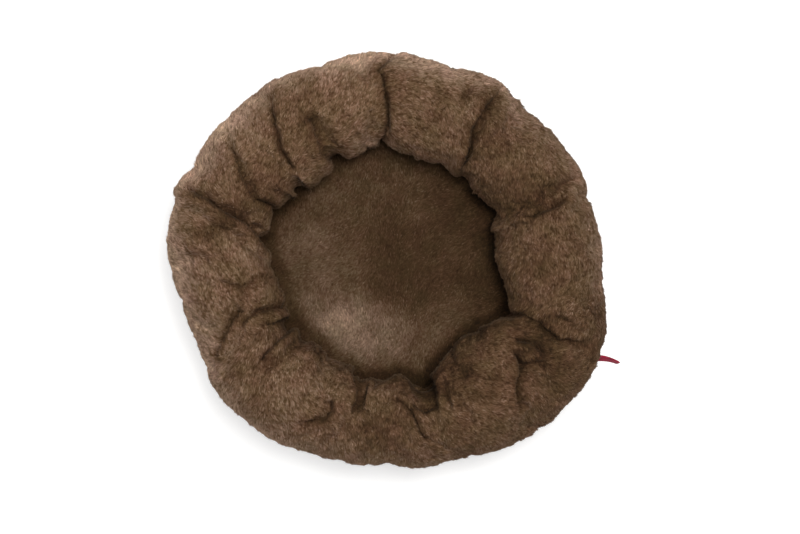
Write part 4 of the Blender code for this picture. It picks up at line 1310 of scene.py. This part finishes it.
def add_label():
    """Ribbon folded in a loop, bending and leaning less towards its fold."""
    ribbon = Finish("red_ribbon", "red_ribbon", 0.7, Specular_IOR_Level=0.15)
    shade = ribbon.ramp(ribbon.noise(0.010, 2, 0.5), (0.35, DEEP_CRIMSON), (0.6, CRIMSON))
    ribbon.weave(0.0006, 0.4, 0.0002)
    ribbon.set(Base_Color=shade)
    root = frame_place("side_label")
    turns = np.linspace(*LABEL_TURNS, LABEL_STATIONS + 1)
    leans = np.radians(np.linspace(*LABEL_LEANS, LABEL_STATIONS + 1))[:, None]
    spin = np.radians(turns + LABEL_AZIMUTH)
    heading = np.stack([np.cos(spin), np.sin(spin), 0 * spin], axis=-1)
    step = LABEL_LENGTH / LABEL_STATIONS
    places = np.concatenate([[np.zeros(3)], np.cumsum(heading[:-1] * step, axis=0)]) + root
    across = np.cross(UP, heading)
    edge = np.cos(leans) * UP + np.sin(leans) * across
    outward = np.cos(leans) * across - np.sin(leans) * UP
    reach = RIBBON_GAP / 2 + RIBBON_THICKNESS
    front = places + outward * reach
    back = places - outward * reach
    fold = places[-1:] + heading[-1:] * reach
    line = np.concatenate([front[:-1], fold, back[:-1][::-1]])
    sides = np.concatenate([edge, edge[:-1][::-1]])
    widths = np.linspace(-0.5, 0.5, 7) * LABEL_WIDTH
    points = line[:, None] + sides[:, None] * widths[None, :, None]
    piece = add_skin("side_label_ribbon", points, ribbon, RIBBON_THICKNESS, body=None)
    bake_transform(piece)
    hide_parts("side_label")


def frame_place(node):
    """Joint of the body that holds a node, which is where the node is sewn on."""
    for joint in frame["joints"]:
        if node in frame["record"]["behaviour"]["bodies"][joint["child"]]:
            return np.array(joint["pos_m"])
    raise ValueError(node)


def add_camera():
    """Straight down over the photograph's middle, with the bed off centre in its frame."""
    data = bpy.data.cameras.new("camera")
    data.sensor_width = SENSOR_WIDTH
    data.lens = SENSOR_WIDTH * CAMERA_DISTANCE / (PHOTO_WIDTH * PIXEL)
    data.clip_end = 100
    camera = bpy.data.objects.new("camera", data)
    camera.location = (
        (PHOTO_WIDTH / 2 - BED_CENTRE_PX[0]) * PIXEL,
        (BED_CENTRE_PX[1] - PHOTO_HEIGHT / 2) * PIXEL,
        CAMERA_DISTANCE + OUTER_BULGE_HEIGHT,
    )
    bpy.context.scene.collection.objects.link(camera)
    bpy.context.scene.camera = camera


def add_lamp(name, place, size, power, colour=(1, 1, 1)):
    data = bpy.data.lights.new(name, "AREA")
    data.size = size
    data.energy = power
    data.color = colour
    lamp = bpy.data.objects.new(name, data)
    lamp.location = place
    lamp.rotation_euler = Vector(place).to_track_quat("Z", "Y").to_euler()
    bpy.context.scene.collection.objects.link(lamp)


def seen_directly(tree):
    """1 for rays from the camera, and for those that reflect or pass through; else 0."""
    path = tree.nodes.new("ShaderNodeLightPath").outputs
    total = path["Is Camera Ray"]
    for kind in ("Is Glossy Ray", "Is Transmission Ray"):
        node = add_node(tree, "ShaderNodeMath", {0: total, 1: path[kind]}, operation="MAXIMUM")
        total = node.outputs["Value"]
    return total


def add_studio():
    """White floor that keeps the shadow, soft lamps, and a world that shows white."""
    scene = bpy.context.scene
    scene.view_settings.view_transform = "Standard"
    scene.world = bpy.data.worlds.new("studio")
    scene.world.use_nodes = True
    tree = scene.world.node_tree
    inputs = {"Value": seen_directly(tree), "To Min": WORLD_LIGHT, "To Max": 1}
    strength = add_node(tree, "ShaderNodeMapRange", inputs).outputs["Result"]
    feed(tree, tree.nodes["Background"], {"Color": (1, 1, 1, 1), "Strength": strength})
    for lamp in LAMPS:
        add_lamp(*lamp)

    finish = Finish(
        "floor", None, 0.9, Specular_IOR_Level=0, Base_Color=(*FLOOR_GREY, 1),
        Emission_Color=(1, 1, 1, 1),
    )
    away = finish.node("ShaderNodeVectorMath", {0: finish.place}, operation="LENGTH")
    glow = finish.scaled(away.outputs["Value"], FLOOR_GLOW, FAR_GLOW, *GLOW_REACH)
    finish.set(Emission_Strength=finish.math("MULTIPLY", seen_directly(finish.tree), glow))
    corners = [(x * FLOOR_REACH, y * FLOOR_REACH, FLOOR_LEVEL) for x, y in FLOOR_CORNERS]
    floor = bpy.data.objects.new("floor", mesh_from("floor", corners, np.array([[0, 1, 2, 3]])))
    floor.data.materials.append(finish.material)
    scene.collection.objects.link(floor)


def main():
    add_camera()
    add_studio()
    ring = add_bolster()
    seat = add_seat()
    add_filling(ring, seat)
    add_base()
    add_zip()
    add_label()


main()
